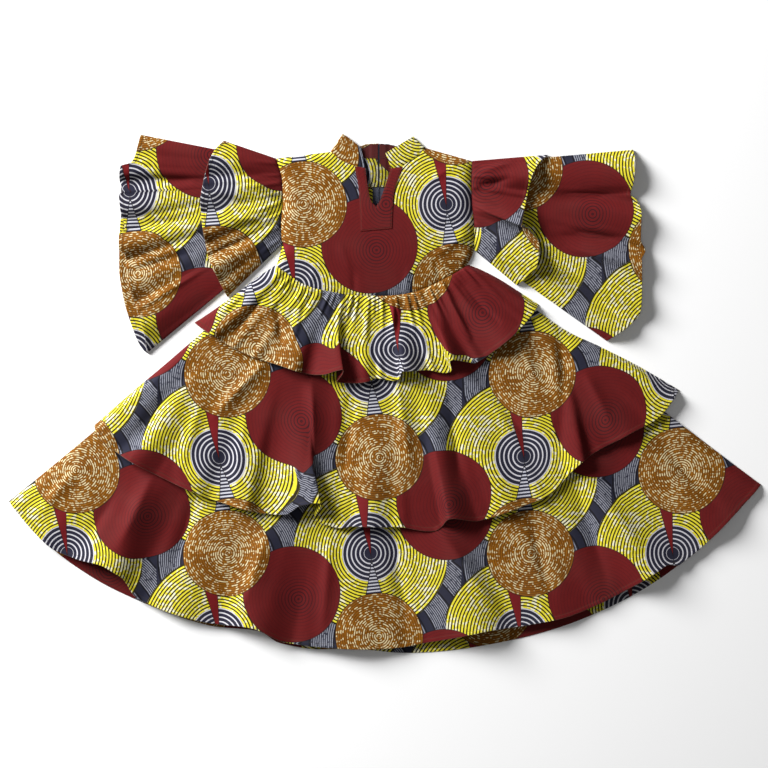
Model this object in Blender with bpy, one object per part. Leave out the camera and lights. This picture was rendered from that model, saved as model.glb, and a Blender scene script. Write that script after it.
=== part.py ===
"""Knee-length dress with three flounces and double bell sleeves, laid flat and face up.

Metres, +Z up. X runs across the dress, Y from the hem to the collar, and Z = 0 is the surface it lies on.
Each cut and sewn piece is one wall of cloth: the middle of the cloth is worked out first, as grids of points,
and the wall is made by moving those points half a thickness each way.
"""
import math
from collections import namedtuple

import bpy
import numpy as np

# Cloth
CLOTH = 0.0012
LAYER_GAP = 0.0004
PITCH = CLOTH + LAYER_GAP
SEAM = 0.0004
CENTRE_GAP = 0.0006
ON_FLOOR = CLOTH / 2

# Heights of the middle of the cloth where the front pieces meet their seams
SEAM_LEVEL = ON_FLOOR + PITCH
ARMHOLE_LEVEL = 0.0058
NECK_LEVEL = 0.0064

# Places of the points round a folded edge, as shares of its radius
FOLD_PLACES = (0, 0.3, 1)

# The skirt layers spread round this point, by angle from the way down the page and by radius
SKIRT_APEX = (-0.012, 0.429)
WAIST_RADIUS = 0.245
SIDE_PULL = 6

Row = namedtuple("Row", "angle radius")
WAIST = [
    Row(-52, 0.269), Row(-42.6, 0.261), Row(-36, 0.2575), Row(-20.6, 0.2414), Row(0, 0.232),
    Row(16.8, 0.2346), Row(31.5, 0.2364), Row(41.4, 0.242), Row(52, 0.2505),
]
SKIRT_HEM = [
    Row(-49, 0.980), Row(-42.2, 0.985), Row(-38.7, 0.969), Row(-35, 0.9456), Row(-33.1, 0.9445),
    Row(-30, 0.965), Row(-27, 0.962), Row(-21, 0.948), Row(-15.5, 0.9297), Row(-11.4, 0.9425),
    Row(-5.3, 0.9396), Row(2.8, 0.935), Row(6.2, 0.929), Row(12.5, 0.9255), Row(18.6, 0.938),
    Row(24.1, 0.9517), Row(33.4, 0.958), Row(36.6, 0.9597), Row(38, 0.975), Row(41.4, 0.9766),
    Row(46.7, 0.975), Row(51.4, 0.977),
]
SKIRT_BACK_HEM = [
    Row(-49, 0.980), Row(-42, 0.985), Row(-35.2, 0.979), Row(-30.4, 0.970), Row(-21.1, 0.954),
    Row(-14.8, 0.934), Row(-12.1, 0.947), Row(-9.2, 0.948), Row(-2.6, 0.939), Row(3, 0.947),
    Row(13.6, 0.955), Row(24.3, 0.967), Row(36.2, 0.9756), Row(51.4, 0.977),
]
TIER_HEM = [
    Row(-49.2, 0.752), Row(-47.3, 0.760), Row(-42.9, 0.753), Row(-36.6, 0.737), Row(-25.9, 0.717),
    Row(-18.5, 0.7034), Row(-16.5, 0.6934), Row(-15.5, 0.6686), Row(-13.5, 0.656), Row(-11.1, 0.686),
    Row(-9, 0.697), Row(-6.6, 0.700), Row(-4, 0.6937), Row(2.5, 0.694), Row(9, 0.710), Row(12.4, 0.691),
    Row(16.5, 0.710), Row(23.9, 0.7125), Row(28.2, 0.7165), Row(34.5, 0.6945), Row(37.5, 0.694),
    Row(44.2, 0.7114), Row(50.8, 0.7345), Row(55, 0.7325),
]
TIER_BACK_HEM = [Row(-49.2, 0.750), Row(-40, 0.735), Row(0, 0.700), Row(40, 0.715), Row(55, 0.733)]
PEPLUM_HEM = [
    Row(-52.2, 0.4665), Row(-44.55, 0.451), Row(-34.35, 0.4325), Row(-28.15, 0.421), Row(-20.1, 0.413),
    Row(-18, 0.4044), Row(-16.5, 0.392), Row(-15.2, 0.387), Row(-13.7, 0.400), Row(-12.2, 0.413),
    Row(-8, 0.4106), Row(-3.4, 0.405), Row(-0.75, 0.397), Row(5.3, 0.4035), Row(8.3, 0.387),
    Row(13.9, 0.392), Row(20.1, 0.410), Row(23.5, 0.389), Row(27.8, 0.414), Row(34.9, 0.412),
    Row(43.4, 0.410), Row(52, 0.406),
]
PEPLUM_BACK_HEM = [Row(-52.2, 0.4665), Row(-46, 0.430), Row(-40, 0.410), Row(0, 0.402), Row(52, 0.406)]

# Side folds of each layer, where its front turns over to its back
Side = namedtuple("Side", "radius left right")
PEPLUM_SIDES = [
    Side(0.24, -50.0, 45.6), Side(0.275, -50.6, 48.6), Side(0.315, -51.3, 50.3), Side(0.35, -51.4, 51.0),
    Side(0.40, -51.6, 51.7), Side(0.466, -52.2, 52.0),
]
TIER_SIDES = [
    Side(0.24, -48.1, 44.0), Side(0.275, -48.8, 46.6), Side(0.315, -49.5, 48.6), Side(0.35, -49.7, 49.4),
    Side(0.41, -49.6, 50.3), Side(0.47, -49.2, 50.8), Side(0.553, -49.2, 52.8), Side(0.642, -49.3, 54.2),
    Side(0.76, -49.2, 55.0),
]
SKIRT_SIDES = [
    Side(0.24, -46.1, 42.0), Side(0.275, -47.0, 44.7), Side(0.315, -47.8, 46.9), Side(0.35, -48.2, 47.9),
    Side(0.41, -48.3, 49.0), Side(0.55, -48.2, 50.3), Side(0.73, -48.5, 50.9), Side(0.98, -49.0, 51.4),
]

# Ramps in the back layers, where each comes down past the hem of the layer under it
RAMP_START = 0.006
SHORT_RAMP = 0.030
LONG_RAMP = 0.036

# How high the middle of the cloth lies inside each front layer, by radius
Rest = namedtuple("Rest", "place height")
SKIRT_REST = [Rest(0.23, 0.0054), Rest(0.29, 0.0066), Rest(0.60, 0.0066), Rest(0.80, 0.009), Rest(0.98, 0.012)]
TIER_REST = [Rest(0.23, 0.0072), Rest(0.30, 0.0095), Rest(0.42, 0.0105), Rest(0.55, 0.014), Rest(0.76, 0.018)]
PEPLUM_REST = [Rest(0.23, 0.0090), Rest(0.28, 0.0125), Rest(0.36, 0.016), Rest(0.47, 0.020)]
SIDE_ROLL = [Rest(0.23, 0.010), Rest(0.30, 0.014), Rest(0.42, 0.014), Rest(0.98, 0.024)]

# Folds of the front layers: where the crest ends at the hem and where it starts, in degrees, the half-widths
# each side in degrees, the height and the lean to the right in metres, and the radius where the fold starts
Fold = namedtuple("Fold", "hem_angle top_angle left right height lean start")
SKIRT_FOLDS = [
    Fold(-43, -44, 4, 4, 0.008, 0, 0.68),
    Fold(-34.5, -37, 7, 4.5, 0.024, 0, 0.64),
    Fold(-25, -26, 5, 5, 0.010, 0, 0.66),
    Fold(-15.5, -17, 5, 6, 0.022, 0, 0.64),
    Fold(-3, -4, 7, 7, 0.012, 0, 0.64),
    Fold(12.5, 8, 7, 5, 0.026, 0, 0.62),
    Fold(22, 20, 5, 5, 0.008, 0, 0.66),
    Fold(34, 34.2, 3.5, 6, 0.020, 0, 0.62),
    Fold(45, 44, 4, 4, 0.010, 0, 0.66),
]
TIER_FOLDS = [
    Fold(-41.5, -43, 2.5, 6, 0.016, 0, 0.46),
    Fold(-31, -34, 5, 4, 0.010, 0, 0.46),
    Fold(-22, -27, 6, 2.5, 0.016, 0, 0.44),
    Fold(-13.5, -19, 5, 3.1, 0.032, 0.036, 0.44),
    Fold(-2, 0, 5, 5, 0.012, 0, 0.44),
    Fold(12.5, 12, 2.5, 4.5, 0.028, -0.008, 0.42),
    Fold(21, 21, 4, 4, 0.008, 0, 0.46),
    Fold(34.5, 48, 3, 3, 0.018, 0.012, 0.40),
    Fold(44, 46, 4, 4, 0.010, 0, 0.50),
]
PEPLUM_FOLDS = [
    Fold(-47, -46, 5, 3, 0.012, 0, 0.28),
    Fold(-24, -26, 9, 5, 0.018, 0, 0.27),
    Fold(-15.2, -18, 6, 3.8, 0.029, 0.030, 0.27),
    Fold(-4, -6, 4, 4, 0.010, 0, 0.28),
    Fold(9, 8, 4, 6, 0.026, -0.010, 0.27),
    Fold(23.5, 22, 3, 3.5, 0.028, -0.012, 0.27),
    Fold(38, 36, 8, 10, 0.020, 0, 0.27),
]
FOLD_GROWTH = 1.3

# Small gathers where the peplum is sewn to the waist: their number, the angles of the first and from one to
# the next, how unevenly they stand, and their half-width, height and length
Gathers = namedtuple("Gathers", "count first step drift half_width height reach")
GATHERS = Gathers(26, -46.5, 3.7, 0.9, 1.6, 0.0032, 0.09)

# Height of the side folds of each front layer, by the share of the way from waist to hem
SKIRT_EDGE = [Rest(0, 0.0054), Rest(0.74, 0.0054), Rest(0.80, 0.0022), Rest(1, 0.0022)]
TIER_EDGE = [Rest(0, 0.0038), Rest(0.50, 0.0038), Rest(0.58, 0.0022), Rest(1, 0.0022)]
PEPLUM_EDGE = [Rest(0, 0.0022), Rest(1, 0.0022)]

Layer = namedtuple("Layer", "hem sides rest edge folds back_level over")

# Bodice, with the same armholes as the sleeves
Point = namedtuple("Point", "x y")
SHOULDER_LEFT = [Point(-0.217, 0.4715), Point(-0.108, 0.485)]
SHOULDER_RIGHT = [Point(0.0794, 0.493), Point(0.1735, 0.4664)]
ARMHOLE_LEFT = [Point(-0.217, 0.4715), Point(-0.205, 0.425), Point(-0.204, 0.385), Point(-0.2075, 0.340),
                Point(-0.206, 0.2994)]
ARMHOLE_RIGHT = [Point(0.1735, 0.4664), Point(0.172, 0.425), Point(0.173, 0.385), Point(0.1775, 0.335),
                 Point(0.178, 0.289)]
SIDE_LEFT = [Point(-0.206, 0.2994), Point(-0.2085, 0.285), Point(-0.2165, 0.2575)]
SIDE_RIGHT = [Point(0.178, 0.289), Point(0.1725, 0.274), Point(0.1625, 0.2576)]
NECK_LEFT = [Point(-0.108, 0.485), Point(-0.089, 0.469), Point(-0.0664, 0.4585), Point(-0.0395, 0.4525)]
NECK_RIGHT = [Point(0.0119, 0.4515), Point(0.030, 0.4534), Point(0.048, 0.4645), Point(0.0694, 0.4795),
              Point(0.0794, 0.493)]
SLIT_END = Point(-0.0174, 0.375)
SLIT_LEFT = [SLIT_END, Point(-0.026, 0.383), Point(-0.0342, 0.413), Point(-0.0395, 0.4525)]
SLIT_RIGHT = [SLIT_END, Point(-0.009, 0.3902), Point(-0.0006, 0.413), Point(0.0119, 0.4515)]
CHEST_LEVEL = 0.365
WAIST_ENDS = (-49.8, 45.6)
BODICE_REST = [
    Rest(0, 0.0090), Rest(0.03, 0.0125), Rest(0.08, 0.0155), Rest(0.14, 0.0150), Rest(0.20, 0.0120),
    Rest(0.255, 0.0080), Rest(0.32, 0.0064),
]
BODICE_ROLL = 0.012
ARMHOLE_ROLL = 0.030

# Back of the bodice, closed by a zip down the centre
CENTRE_BACK = -0.0126
BACK_NECK_LEFT = [Point(-0.108, 0.485), Point(-0.080, 0.478), Point(-0.045, 0.4728),
                  Point(CENTRE_BACK, 0.4712)]
BACK_NECK_RIGHT = [Point(CENTRE_BACK, 0.4712), Point(0.018, 0.4728), Point(0.052, 0.4795),
                   Point(0.0794, 0.493)]
ZIP_WIDTH = 0.024
ZIP_COIL_WIDTH = 0.005
ZIP_COIL_HEIGHT = 0.0008
ZIP_TAPE = 0.0010
ZIP_BOTTOM = 0.2005
ZIP_TOP = 0.5005

# Neck placket, laid on the front round the slit
PLACKET_LEFT = [Point(-0.0495, 0.3256), Point(-0.0502, 0.361), Point(-0.052, 0.4056), Point(-0.0608, 0.4562)]
PLACKET_RIGHT = [Point(0.0136, 0.3312), Point(0.0150, 0.365), Point(0.0180, 0.400), Point(0.0350, 0.4550)]
PLACKET_SPLIT = 0.365

# Stand collar: each half runs from the centre front round the side fold to the centre back
COLLAR_SEAM = 0.0006
COLLAR_TOP_LEFT = [Point(-0.084, 0.521), Point(-0.066, 0.508), Point(-0.048, 0.493)]
COLLAR_BACK_TOP_LEFT = [Point(-0.084, 0.521), Point(-0.064, 0.5030), Point(-0.050, 0.4965),
                        Point(-0.037, 0.5008), Point(CENTRE_BACK, 0.502)]
COLLAR_TOP_RIGHT = [Point(0.056, 0.5158), Point(0.030, 0.500), Point(0.0008, 0.4822)]
COLLAR_BACK_TOP_RIGHT = [Point(0.056, 0.5158), Point(0.038, 0.5015), Point(0.0248, 0.4965), Point(0.012, 0.500),
                         Point(CENTRE_BACK, 0.502)]

# Facings inside the back neck and the back of the collar, which cover the zip tape on each side of its coil
FACING_BOTTOM = 0.415
FACING_MARGIN = 0.0012
Strip = namedtuple("Strip", "from_centre height")
FACING = [
    Strip(0.0018, 0.0037), Strip(0.0135, 0.0037), Strip(0.020, ON_FLOOR + PITCH),
    Strip(0.034, ON_FLOOR + PITCH), Strip(0.048, ON_FLOOR + PITCH),
]

# Sleeves: a flattened tube from the armhole to each hem, with folds that spread round a point near the neck
SLEEVE_SEAM = 0.0009
SLEEVE_ROLL = 0.020
SLEEVE_GROWTH = 1.2
Pleat = namedtuple("Pleat", "angle up down height lean")
Tuck = namedtuple("Tuck", "angle half_width height reach")
Sleeve = namedtuple("Sleeve", "side armhole hem back_hem apex pleats tucks start rest edge back inset")
APEX_LEFT = Point(-0.030, 0.441)
APEX_RIGHT = Point(-0.062, 0.453)
UPPER_REST = [Rest(0, ARMHOLE_LEVEL), Rest(0.15, 0.0080), Rest(0.5, 0.012), Rest(1, 0.016)]
UPPER_EDGE = [Rest(0, ARMHOLE_LEVEL), Rest(1, ARMHOLE_LEVEL)]
UPPER_BACK = [Rest(0, ON_FLOOR), Rest(1, ON_FLOOR)]
LOWER_REST = [Rest(0, 0.0042), Rest(0.25, 0.0048), Rest(0.5, 0.0060), Rest(1, 0.011)]
LOWER_EDGE = [Rest(0, 0.0042), Rest(0.5, 0.0050), Rest(1, 0.0054)]
LOWER_BACK_LEFT = [Rest(0, 0.0022), Rest(0.60, 0.0022), Rest(0.70, ON_FLOOR), Rest(1, ON_FLOOR)]
LOWER_BACK_RIGHT = [Rest(0, 0.0022), Rest(0.66, 0.0022), Rest(0.76, ON_FLOOR), Rest(1, ON_FLOOR)]
UPPER_LEFT = Sleeve(
    side=-1, armhole=ARMHOLE_LEFT, apex=APEX_LEFT, start=0, rest=UPPER_REST, edge=UPPER_EDGE, back=UPPER_BACK,
    inset=0, back_hem=None,
    hem=[Point(-0.322, 0.507), Point(-0.340, 0.487), Point(-0.362, 0.427), Point(-0.368, 0.377),
         Point(-0.3588, 0.305), Point(-0.3534, 0.2772), Point(-0.335, 0.2344), Point(-0.3152, 0.1954)],
    pleats=[Pleat(-4, 6, 5, 0.012, 0), Pleat(8, 6, 6, 0.010, 0), Pleat(20, 6, 3, 0.012, 0),
            Pleat(31, 4, 5, 0.014, 0)],
    tucks=[Tuck(-5, 2.2, 0.0020, 0.5), Tuck(1, 2.0, 0.0018, 0.4), Tuck(7, 2.4, 0.0024, 0.6),
           Tuck(13, 2.0, 0.0018, 0.4), Tuck(19, 2.2, 0.0024, 0.55), Tuck(25, 2.0, 0.0020, 0.4),
           Tuck(31, 2.4, 0.0022, 0.5)])
LOWER_LEFT = Sleeve(
    side=-1, armhole=ARMHOLE_LEFT, apex=APEX_LEFT, start=0.45, rest=LOWER_REST, edge=LOWER_EDGE,
    back=LOWER_BACK_LEFT, inset=0.035,
    hem=[Point(-0.488, 0.519), Point(-0.506, 0.463), Point(-0.527, 0.455), Point(-0.530, 0.429),
         Point(-0.523, 0.405), Point(-0.531, 0.400), Point(-0.528, 0.369), Point(-0.519, 0.330),
         Point(-0.531, 0.320), Point(-0.530, 0.289), Point(-0.5194, 0.281), Point(-0.5134, 0.2274),
         Point(-0.4964, 0.1722), Point(-0.478, 0.108), Point(-0.476, 0.083)],
    back_hem=[Point(-0.488, 0.519), Point(-0.506, 0.463), Point(-0.528, 0.430), Point(-0.528, 0.369),
              Point(-0.531, 0.320), Point(-0.532, 0.255), Point(-0.524, 0.197), Point(-0.506, 0.1356),
              Point(-0.484, 0.0896), Point(-0.476, 0.083)],
    pleats=[Pleat(-6, 4, 4, 0.006, 0), Pleat(0, 5, 1.6, 0.014, 0), Pleat(8, 5, 2.5, 0.010, 0),
            Pleat(16.5, 3.5, 3, 0.014, 0), Pleat(25, 5, 4.5, 0.012, 0), Pleat(33.5, 4, 4, 0.010, 0)],
    tucks=[])
UPPER_RIGHT = Sleeve(
    side=1, armhole=ARMHOLE_RIGHT, apex=APEX_RIGHT, start=0, rest=UPPER_REST, edge=UPPER_EDGE, back=UPPER_BACK,
    inset=0, back_hem=None,
    hem=[Point(0.326, 0.479), Point(0.310, 0.465), Point(0.294, 0.437), Point(0.284, 0.397),
         Point(0.276, 0.345), Point(0.290, 0.325), Point(0.308, 0.299), Point(0.3032, 0.257),
         Point(0.264, 0.218)],
    pleats=[Pleat(3, 5, 5, 0.018, 0), Pleat(17, 6, 2.5, 0.026, 0.014), Pleat(27, 4, 5, 0.016, 0)],
    tucks=[Tuck(-1, 1.9, 0.0022, 0.5), Tuck(4, 1.8, 0.0026, 0.45), Tuck(9, 2.0, 0.0032, 0.6),
           Tuck(14, 1.8, 0.0028, 0.5), Tuck(19.5, 2.0, 0.0036, 0.7), Tuck(24.5, 1.7, 0.0026, 0.45),
           Tuck(29.5, 1.9, 0.0026, 0.5)])
LOWER_RIGHT = Sleeve(
    side=1, armhole=ARMHOLE_RIGHT, apex=APEX_RIGHT, start=0.52, rest=LOWER_REST, edge=LOWER_EDGE,
    back=LOWER_BACK_RIGHT, inset=0.035, back_hem=None,
    hem=[Point(0.496, 0.489), Point(0.4992, 0.4678), Point(0.496, 0.425), Point(0.490, 0.399),
         Point(0.502, 0.389), Point(0.5114, 0.363), Point(0.510, 0.309), Point(0.520, 0.287),
         Point(0.512, 0.269), Point(0.513, 0.223), Point(0.510, 0.167), Point(0.487, 0.137),
         Point(0.444, 0.107)],
    pleats=[Pleat(1.5, 5, 5, 0.014, 0), Pleat(10, 3, 5.5, 0.016, 0), Pleat(18.5, 2.6, 4, 0.014, 0),
            Pleat(25.5, 4, 3, 0.012, 0), Pleat(31, 2.6, 3.5, 0.010, 0)],
    tucks=[])

# Colours, as the average of the print on each piece
PRINT_YELLOW = (0.52, 0.44, 0.12)
PRINT_OCHRE = (0.40, 0.27, 0.10)
PRINT_MAROON = (0.26, 0.06, 0.06)
ZIP_NAVY = (0.05, 0.055, 0.09)


def smooth(table, places, column=1):
    """Value of a table's column at places in its first column, on a curve that never overshoots its rows."""
    x = np.array([row[0] for row in table])
    y = np.array([row[column] for row in table])
    step = np.diff(x)
    slope = np.diff(y) / step
    tangent = np.zeros(len(x))
    tangent[0], tangent[-1] = slope[0], slope[-1]
    same_way = slope[:-1] * slope[1:] > 0
    before = np.where(same_way, slope[:-1], 1)
    after = np.where(same_way, slope[1:], 1)
    weight = 2 * step[1:] + step[:-1], step[1:] + 2 * step[:-1]
    tangent[1:-1] = np.where(same_way, sum(weight) / (weight[0] / before + weight[1] / after), 0)
    places = np.clip(places, x[0], x[-1])
    k = np.clip(np.searchsorted(x, places, side="right") - 1, 0, len(step) - 1)
    t = (places - x[k]) / step[k]
    value = (1 + 2 * t) * (1 - t) ** 2 * y[k] + t * t * (3 - 2 * t) * y[k + 1]
    return value + step[k] * (t * (1 - t) ** 2 * tangent[k] - t * t * (1 - t) * tangent[k + 1])


def along(points, places):
    """Points at places from 0 to 1 along a smooth curve through a table of points."""
    xy = np.array(points)
    travelled = np.concatenate([[0], np.cumsum(np.linalg.norm(np.diff(xy, axis=0), axis=1))])
    travelled /= travelled[-1]
    columns = [smooth(list(zip(travelled, xy[:, k])), places) for k in range(2)]
    return np.stack(columns, axis=-1)


def polar(angle, radius):
    """Place in plan of a point of the skirt."""
    turn = np.radians(angle)
    return np.stack([SKIRT_APEX[0] + radius * np.sin(turn), SKIRT_APEX[1] - radius * np.cos(turn)], axis=-1)


def ease(share):
    """Rises from 0 to 1, steep at first, as cloth rolls up from an edge."""
    return 1 - (1 - np.clip(share, 0, 1)) ** 2


def bump(offset, before, after):
    """Height of a fold of height 1 at an offset from its crest, with its own half-width on each side."""
    width = np.where(offset < 0, before, after)
    return np.cos(np.pi / 2 * np.clip(offset / width, -1, 1)) ** 2


def gather_rise(share):
    """Height of a gather of height 1 at a share of its length from the seam, highest near the seam."""
    return np.sin(np.pi * np.clip(share, 0, 1) ** 0.6)


def even_places(points, count, bend_weight=0.012):
    """Places from 0 to 1 on a finely sampled curve that share out its length and its bends evenly."""
    steps = np.diff(points, axis=0)
    lengths = np.linalg.norm(steps, axis=1)
    directions = steps / lengths[:, None]
    turns = np.arccos(np.clip((directions[1:] * directions[:-1]).sum(axis=1), -1, 1))
    cost = lengths + bend_weight * np.concatenate([[0], turns])
    travelled = np.concatenate([[0], np.cumsum(cost)])
    return np.interp(np.linspace(0, travelled[-1], count), travelled, np.linspace(0, 1, len(points)))


def plan_grid(bottom, top, left, right):
    """Coons patch in plan between four edges that share their corners."""
    s = np.linspace(0, 1, len(bottom))[None, :, None]
    t = np.linspace(0, 1, len(left))[:, None, None]
    across = (1 - t) * bottom[None] + t * top[None]
    up = (1 - s) * left[:, None] + s * right[:, None]
    corners = (1 - t) * ((1 - s) * bottom[0] + s * bottom[-1]) + t * ((1 - s) * top[0] + s * top[-1])
    return across + up - corners


def distance_to(paths, xy):
    """Distance in plan from points to the nearest of some smooth curves."""
    nearest = np.full(xy.shape[:-1], np.inf)
    for path in paths:
        for corner in along(path, np.linspace(0, 1, 60)):
            nearest = np.minimum(nearest, np.linalg.norm(xy - corner, axis=-1))
    return nearest


def with_height(xy, height):
    """Points in space from points in plan and their heights."""
    return np.concatenate([xy, np.broadcast_to(height, xy.shape[:-1])[..., None]], axis=-1)


def grid_triangles(grid, closed=False):
    """Triangles of a grid of points, each as three points, seen anticlockwise from above."""
    if closed:
        grid = np.concatenate([grid, grid[:, :1]], axis=1)
    a, b, c, d = grid[:-1, :-1], grid[:-1, 1:], grid[1:, 1:], grid[1:, :-1]
    return np.concatenate([np.stack(half, axis=2).reshape(-1, 3, 3) for half in ((a, b, c), (a, c, d))])


def wall(name, triangles, colour, thickness=CLOTH):
    """Closed wall of cloth, half a thickness to each side of the triangles."""
    corners, first, index = np.unique(
        np.round(triangles.reshape(-1, 3), 6), axis=0, return_index=True, return_inverse=True)
    points = triangles.reshape(-1, 3)[first]
    faces = index.reshape(-1, 3)
    normals = np.zeros_like(points)
    edges = points[faces[:, 1]] - points[faces[:, 0]], points[faces[:, 2]] - points[faces[:, 0]]
    for corner in range(3):
        np.add.at(normals, faces[:, corner], np.cross(*edges))
    normals /= np.linalg.norm(normals, axis=1)[:, None]
    count = len(points)
    sides = {(a, b) for face in faces for a, b in zip(face, np.roll(face, -1))}
    rims = []
    for a, b in sides:
        if (b, a) not in sides:
            rims += [(b, a, a + count), (b, a + count, b + count)]
    solid = np.concatenate([faces, faces[:, ::-1] + count, np.array(rims)])
    places = np.concatenate([points + normals * thickness / 2, points - normals * thickness / 2])
    mesh = bpy.data.meshes.new(name)
    mesh.from_pydata(places.tolist(), [], solid.tolist())
    mesh.shade_smooth()
    mesh.set_sharp_from_angle(angle=math.radians(50))
    piece = bpy.data.objects.new(name, mesh)
    bpy.context.collection.objects.link(piece)
    material = bpy.data.materials.new(name)
    material.use_nodes = True
    shader = material.node_tree.nodes["Principled BSDF"]
    shader.inputs["Base Color"].default_value = (*colour, 1)
    shader.inputs["Roughness"].default_value = 0.8
    shader.inputs["Metallic"].default_value = 0
    mesh.materials.append(material)
    return piece


def ramp_down(radius, hem, start, end, drop):
    """How far a back layer has come down at a radius past a hem."""
    return drop * np.clip((radius - hem - start) / (end - start), 0, 1)


def peplum_back_level(angle, radius):
    """Height of the peplum's back, which lies on the surface."""
    return np.full(np.broadcast(angle, radius).shape, ON_FLOOR)


def tier_back_level(angle, radius):
    """Height of the middle tier's back, over the peplum's back and then on the surface."""
    peplum = smooth(PEPLUM_BACK_HEM, angle)
    return ON_FLOOR + PITCH - ramp_down(radius, peplum, RAMP_START, SHORT_RAMP, PITCH)


def skirt_back_level(angle, radius):
    """Height of the full layer's back, which comes down in two ramps."""
    peplum = smooth(PEPLUM_BACK_HEM, angle)
    tier = smooth(TIER_BACK_HEM, angle)
    drop = ramp_down(radius, peplum, RAMP_START, LONG_RAMP, PITCH)
    return ON_FLOOR + 2 * PITCH - drop - ramp_down(radius, tier, RAMP_START, LONG_RAMP, PITCH)


SKIRT = Layer(SKIRT_HEM, SKIRT_SIDES, SKIRT_REST, SKIRT_EDGE, SKIRT_FOLDS, skirt_back_level, None)
TIER = Layer(TIER_HEM, TIER_SIDES, TIER_REST, TIER_EDGE, TIER_FOLDS, tier_back_level, SKIRT)
PEPLUM = Layer(PEPLUM_HEM, PEPLUM_SIDES, PEPLUM_REST, PEPLUM_EDGE, PEPLUM_FOLDS, peplum_back_level, TIER)


def layer_grid(layer, hem, share, reach):
    """Angles and radii of a layer; share runs 0 to 1 from left to right, reach 0 to 1 from waist to hem."""
    hem_angle = hem[0].angle + share * (hem[-1].angle - hem[0].angle)
    hem_radius = smooth(hem, hem_angle)

    def pulled(radius):
        """Angle at a radius, with the columns near each side pulled to the side fold."""
        left = smooth(layer.sides, radius, 1) - smooth(layer.sides, hem_radius, 1)
        right = smooth(layer.sides, radius, 2) - smooth(layer.sides, hem_radius, 2)
        return hem_angle + left * (1 - share) ** SIDE_PULL + right * share ** SIDE_PULL

    waist_radius = smooth(WAIST, pulled(WAIST_RADIUS)) + SEAM / 2
    radius = waist_radius + reach * (hem_radius - waist_radius)
    return pulled(radius), radius


def layer_shape(layer, angle, radius):
    """Height of a front layer, and how far its folds lean to the right, in metres."""
    hem = smooth(layer.hem, angle)
    waist = smooth(WAIST, angle)
    lift = np.zeros(angle.shape)
    lean = np.zeros(angle.shape)
    for fold in layer.folds:
        grown = np.clip((radius - fold.start) / (hem - fold.start), 0, 1)
        crest = fold.top_angle + (fold.hem_angle - fold.top_angle) * grown
        shape = grown ** FOLD_GROWTH * bump(angle - crest, fold.left, fold.right)
        lift += fold.height * shape
        lean += fold.lean * shape
    if layer is PEPLUM:
        lift += gathers(angle, radius - waist)
    left = smooth(layer.sides, radius, 1)
    right = smooth(layer.sides, radius, 2)
    side = np.radians(np.minimum(angle - left, right - angle)) * radius
    rolled = ease(side / smooth(SIDE_ROLL, radius))
    inside = smooth(layer.rest, radius)
    if layer.over:
        inside = np.maximum(inside, layer_shape(layer.over, angle, radius)[0] + PITCH)
    edge = np.interp((radius - waist) / (hem - waist), *zip(*layer.edge))
    return edge + (inside + lift - edge) * rolled, lean * rolled


def gathers(angle, distance):
    """Small gathers below the waist seam, uneven in place, width, height and length."""
    lift = np.zeros(angle.shape)
    for k in range(GATHERS.count):
        uneven = math.sin(2.4 * k)
        crest = GATHERS.first + GATHERS.step * k + GATHERS.drift * uneven
        width = GATHERS.half_width * (1 + 0.25 * math.cos(1.7 * k))
        reach = GATHERS.reach * (0.8 + 0.3 * math.sin(4.1 * k))
        height = GATHERS.height * (1 + 0.3 * uneven)
        lift += height * gather_rise(distance / reach) * bump(angle - crest, width, width)
    return lift


def front_layer(layer, share, reach):
    """Middle of a front layer's cloth."""
    angle, radius = layer_grid(layer, layer.hem, share[None, :], reach[:, None])
    height, lean = layer_shape(layer, angle, radius)
    return with_height(polar(angle + np.degrees(lean / radius), radius), height)


def skirt_front(name, layer, columns, reach, colour):
    """Front of a skirt layer, with more columns where its hem bends."""
    fine = front_layer(layer, np.linspace(0, 1, 1501), np.array([1.0]))[0]
    share = even_places(fine, columns)
    wall(name, grid_triangles(front_layer(layer, share, np.array(reach))[::-1]), colour)


def skirt_back(name, layer, hem, columns, breaks, colour):
    """Back of a skirt layer, with rows where it ramps down past the hems in breaks."""
    share = np.linspace(0, 1, columns)
    angle, radius = layer_grid(layer, hem, share[None, :], np.array([0.0, 1.0])[:, None])
    rows = [(angle[0], radius[0])]
    for inner_hem, offset in breaks:
        place = radius[0]
        for _ in range(3):
            reach = (place - radius[0]) / (radius[1] - radius[0])
            row_angle = layer_grid(layer, hem, share, reach)[0]
            place = smooth(inner_hem, row_angle) + offset
        rows.append((row_angle, place))
    rows.append((angle[1], radius[1]))
    grid = [with_height(polar(a, r), layer.back_level(a, r)) for a, r in rows]
    wall(name, grid_triangles(np.array(grid)[::-1]), colour)


def skirt_layers():
    """The three circular layers, front and back."""
    skirt_front("skirt_front", SKIRT, 84, (0, 0.3, 0.55, 0.66, 0.74, 0.80, 0.88, 0.95, 1), PRINT_YELLOW)
    skirt_front("tier_front", TIER, 86, (0, 0.25, 0.42, 0.50, 0.58, 0.75, 0.88, 1), PRINT_OCHRE)
    skirt_front("peplum_front", PEPLUM, 106, (0, 0.1, 0.25, 0.45, 0.65, 0.84, 1), PRINT_YELLOW)
    ramps = [(PEPLUM_BACK_HEM, RAMP_START), (PEPLUM_BACK_HEM, LONG_RAMP),
             (TIER_BACK_HEM, RAMP_START), (TIER_BACK_HEM, LONG_RAMP)]
    skirt_back("skirt_back", SKIRT, SKIRT_BACK_HEM, 42, ramps, PRINT_YELLOW)
    tier_ramp = [(PEPLUM_BACK_HEM, RAMP_START), (PEPLUM_BACK_HEM, SHORT_RAMP)]
    skirt_back("tier_back", TIER, TIER_BACK_HEM, 36, tier_ramp, PRINT_OCHRE)
    skirt_back("peplum_back", PEPLUM, PEPLUM_BACK_HEM, 36, [], PRINT_YELLOW)


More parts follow.
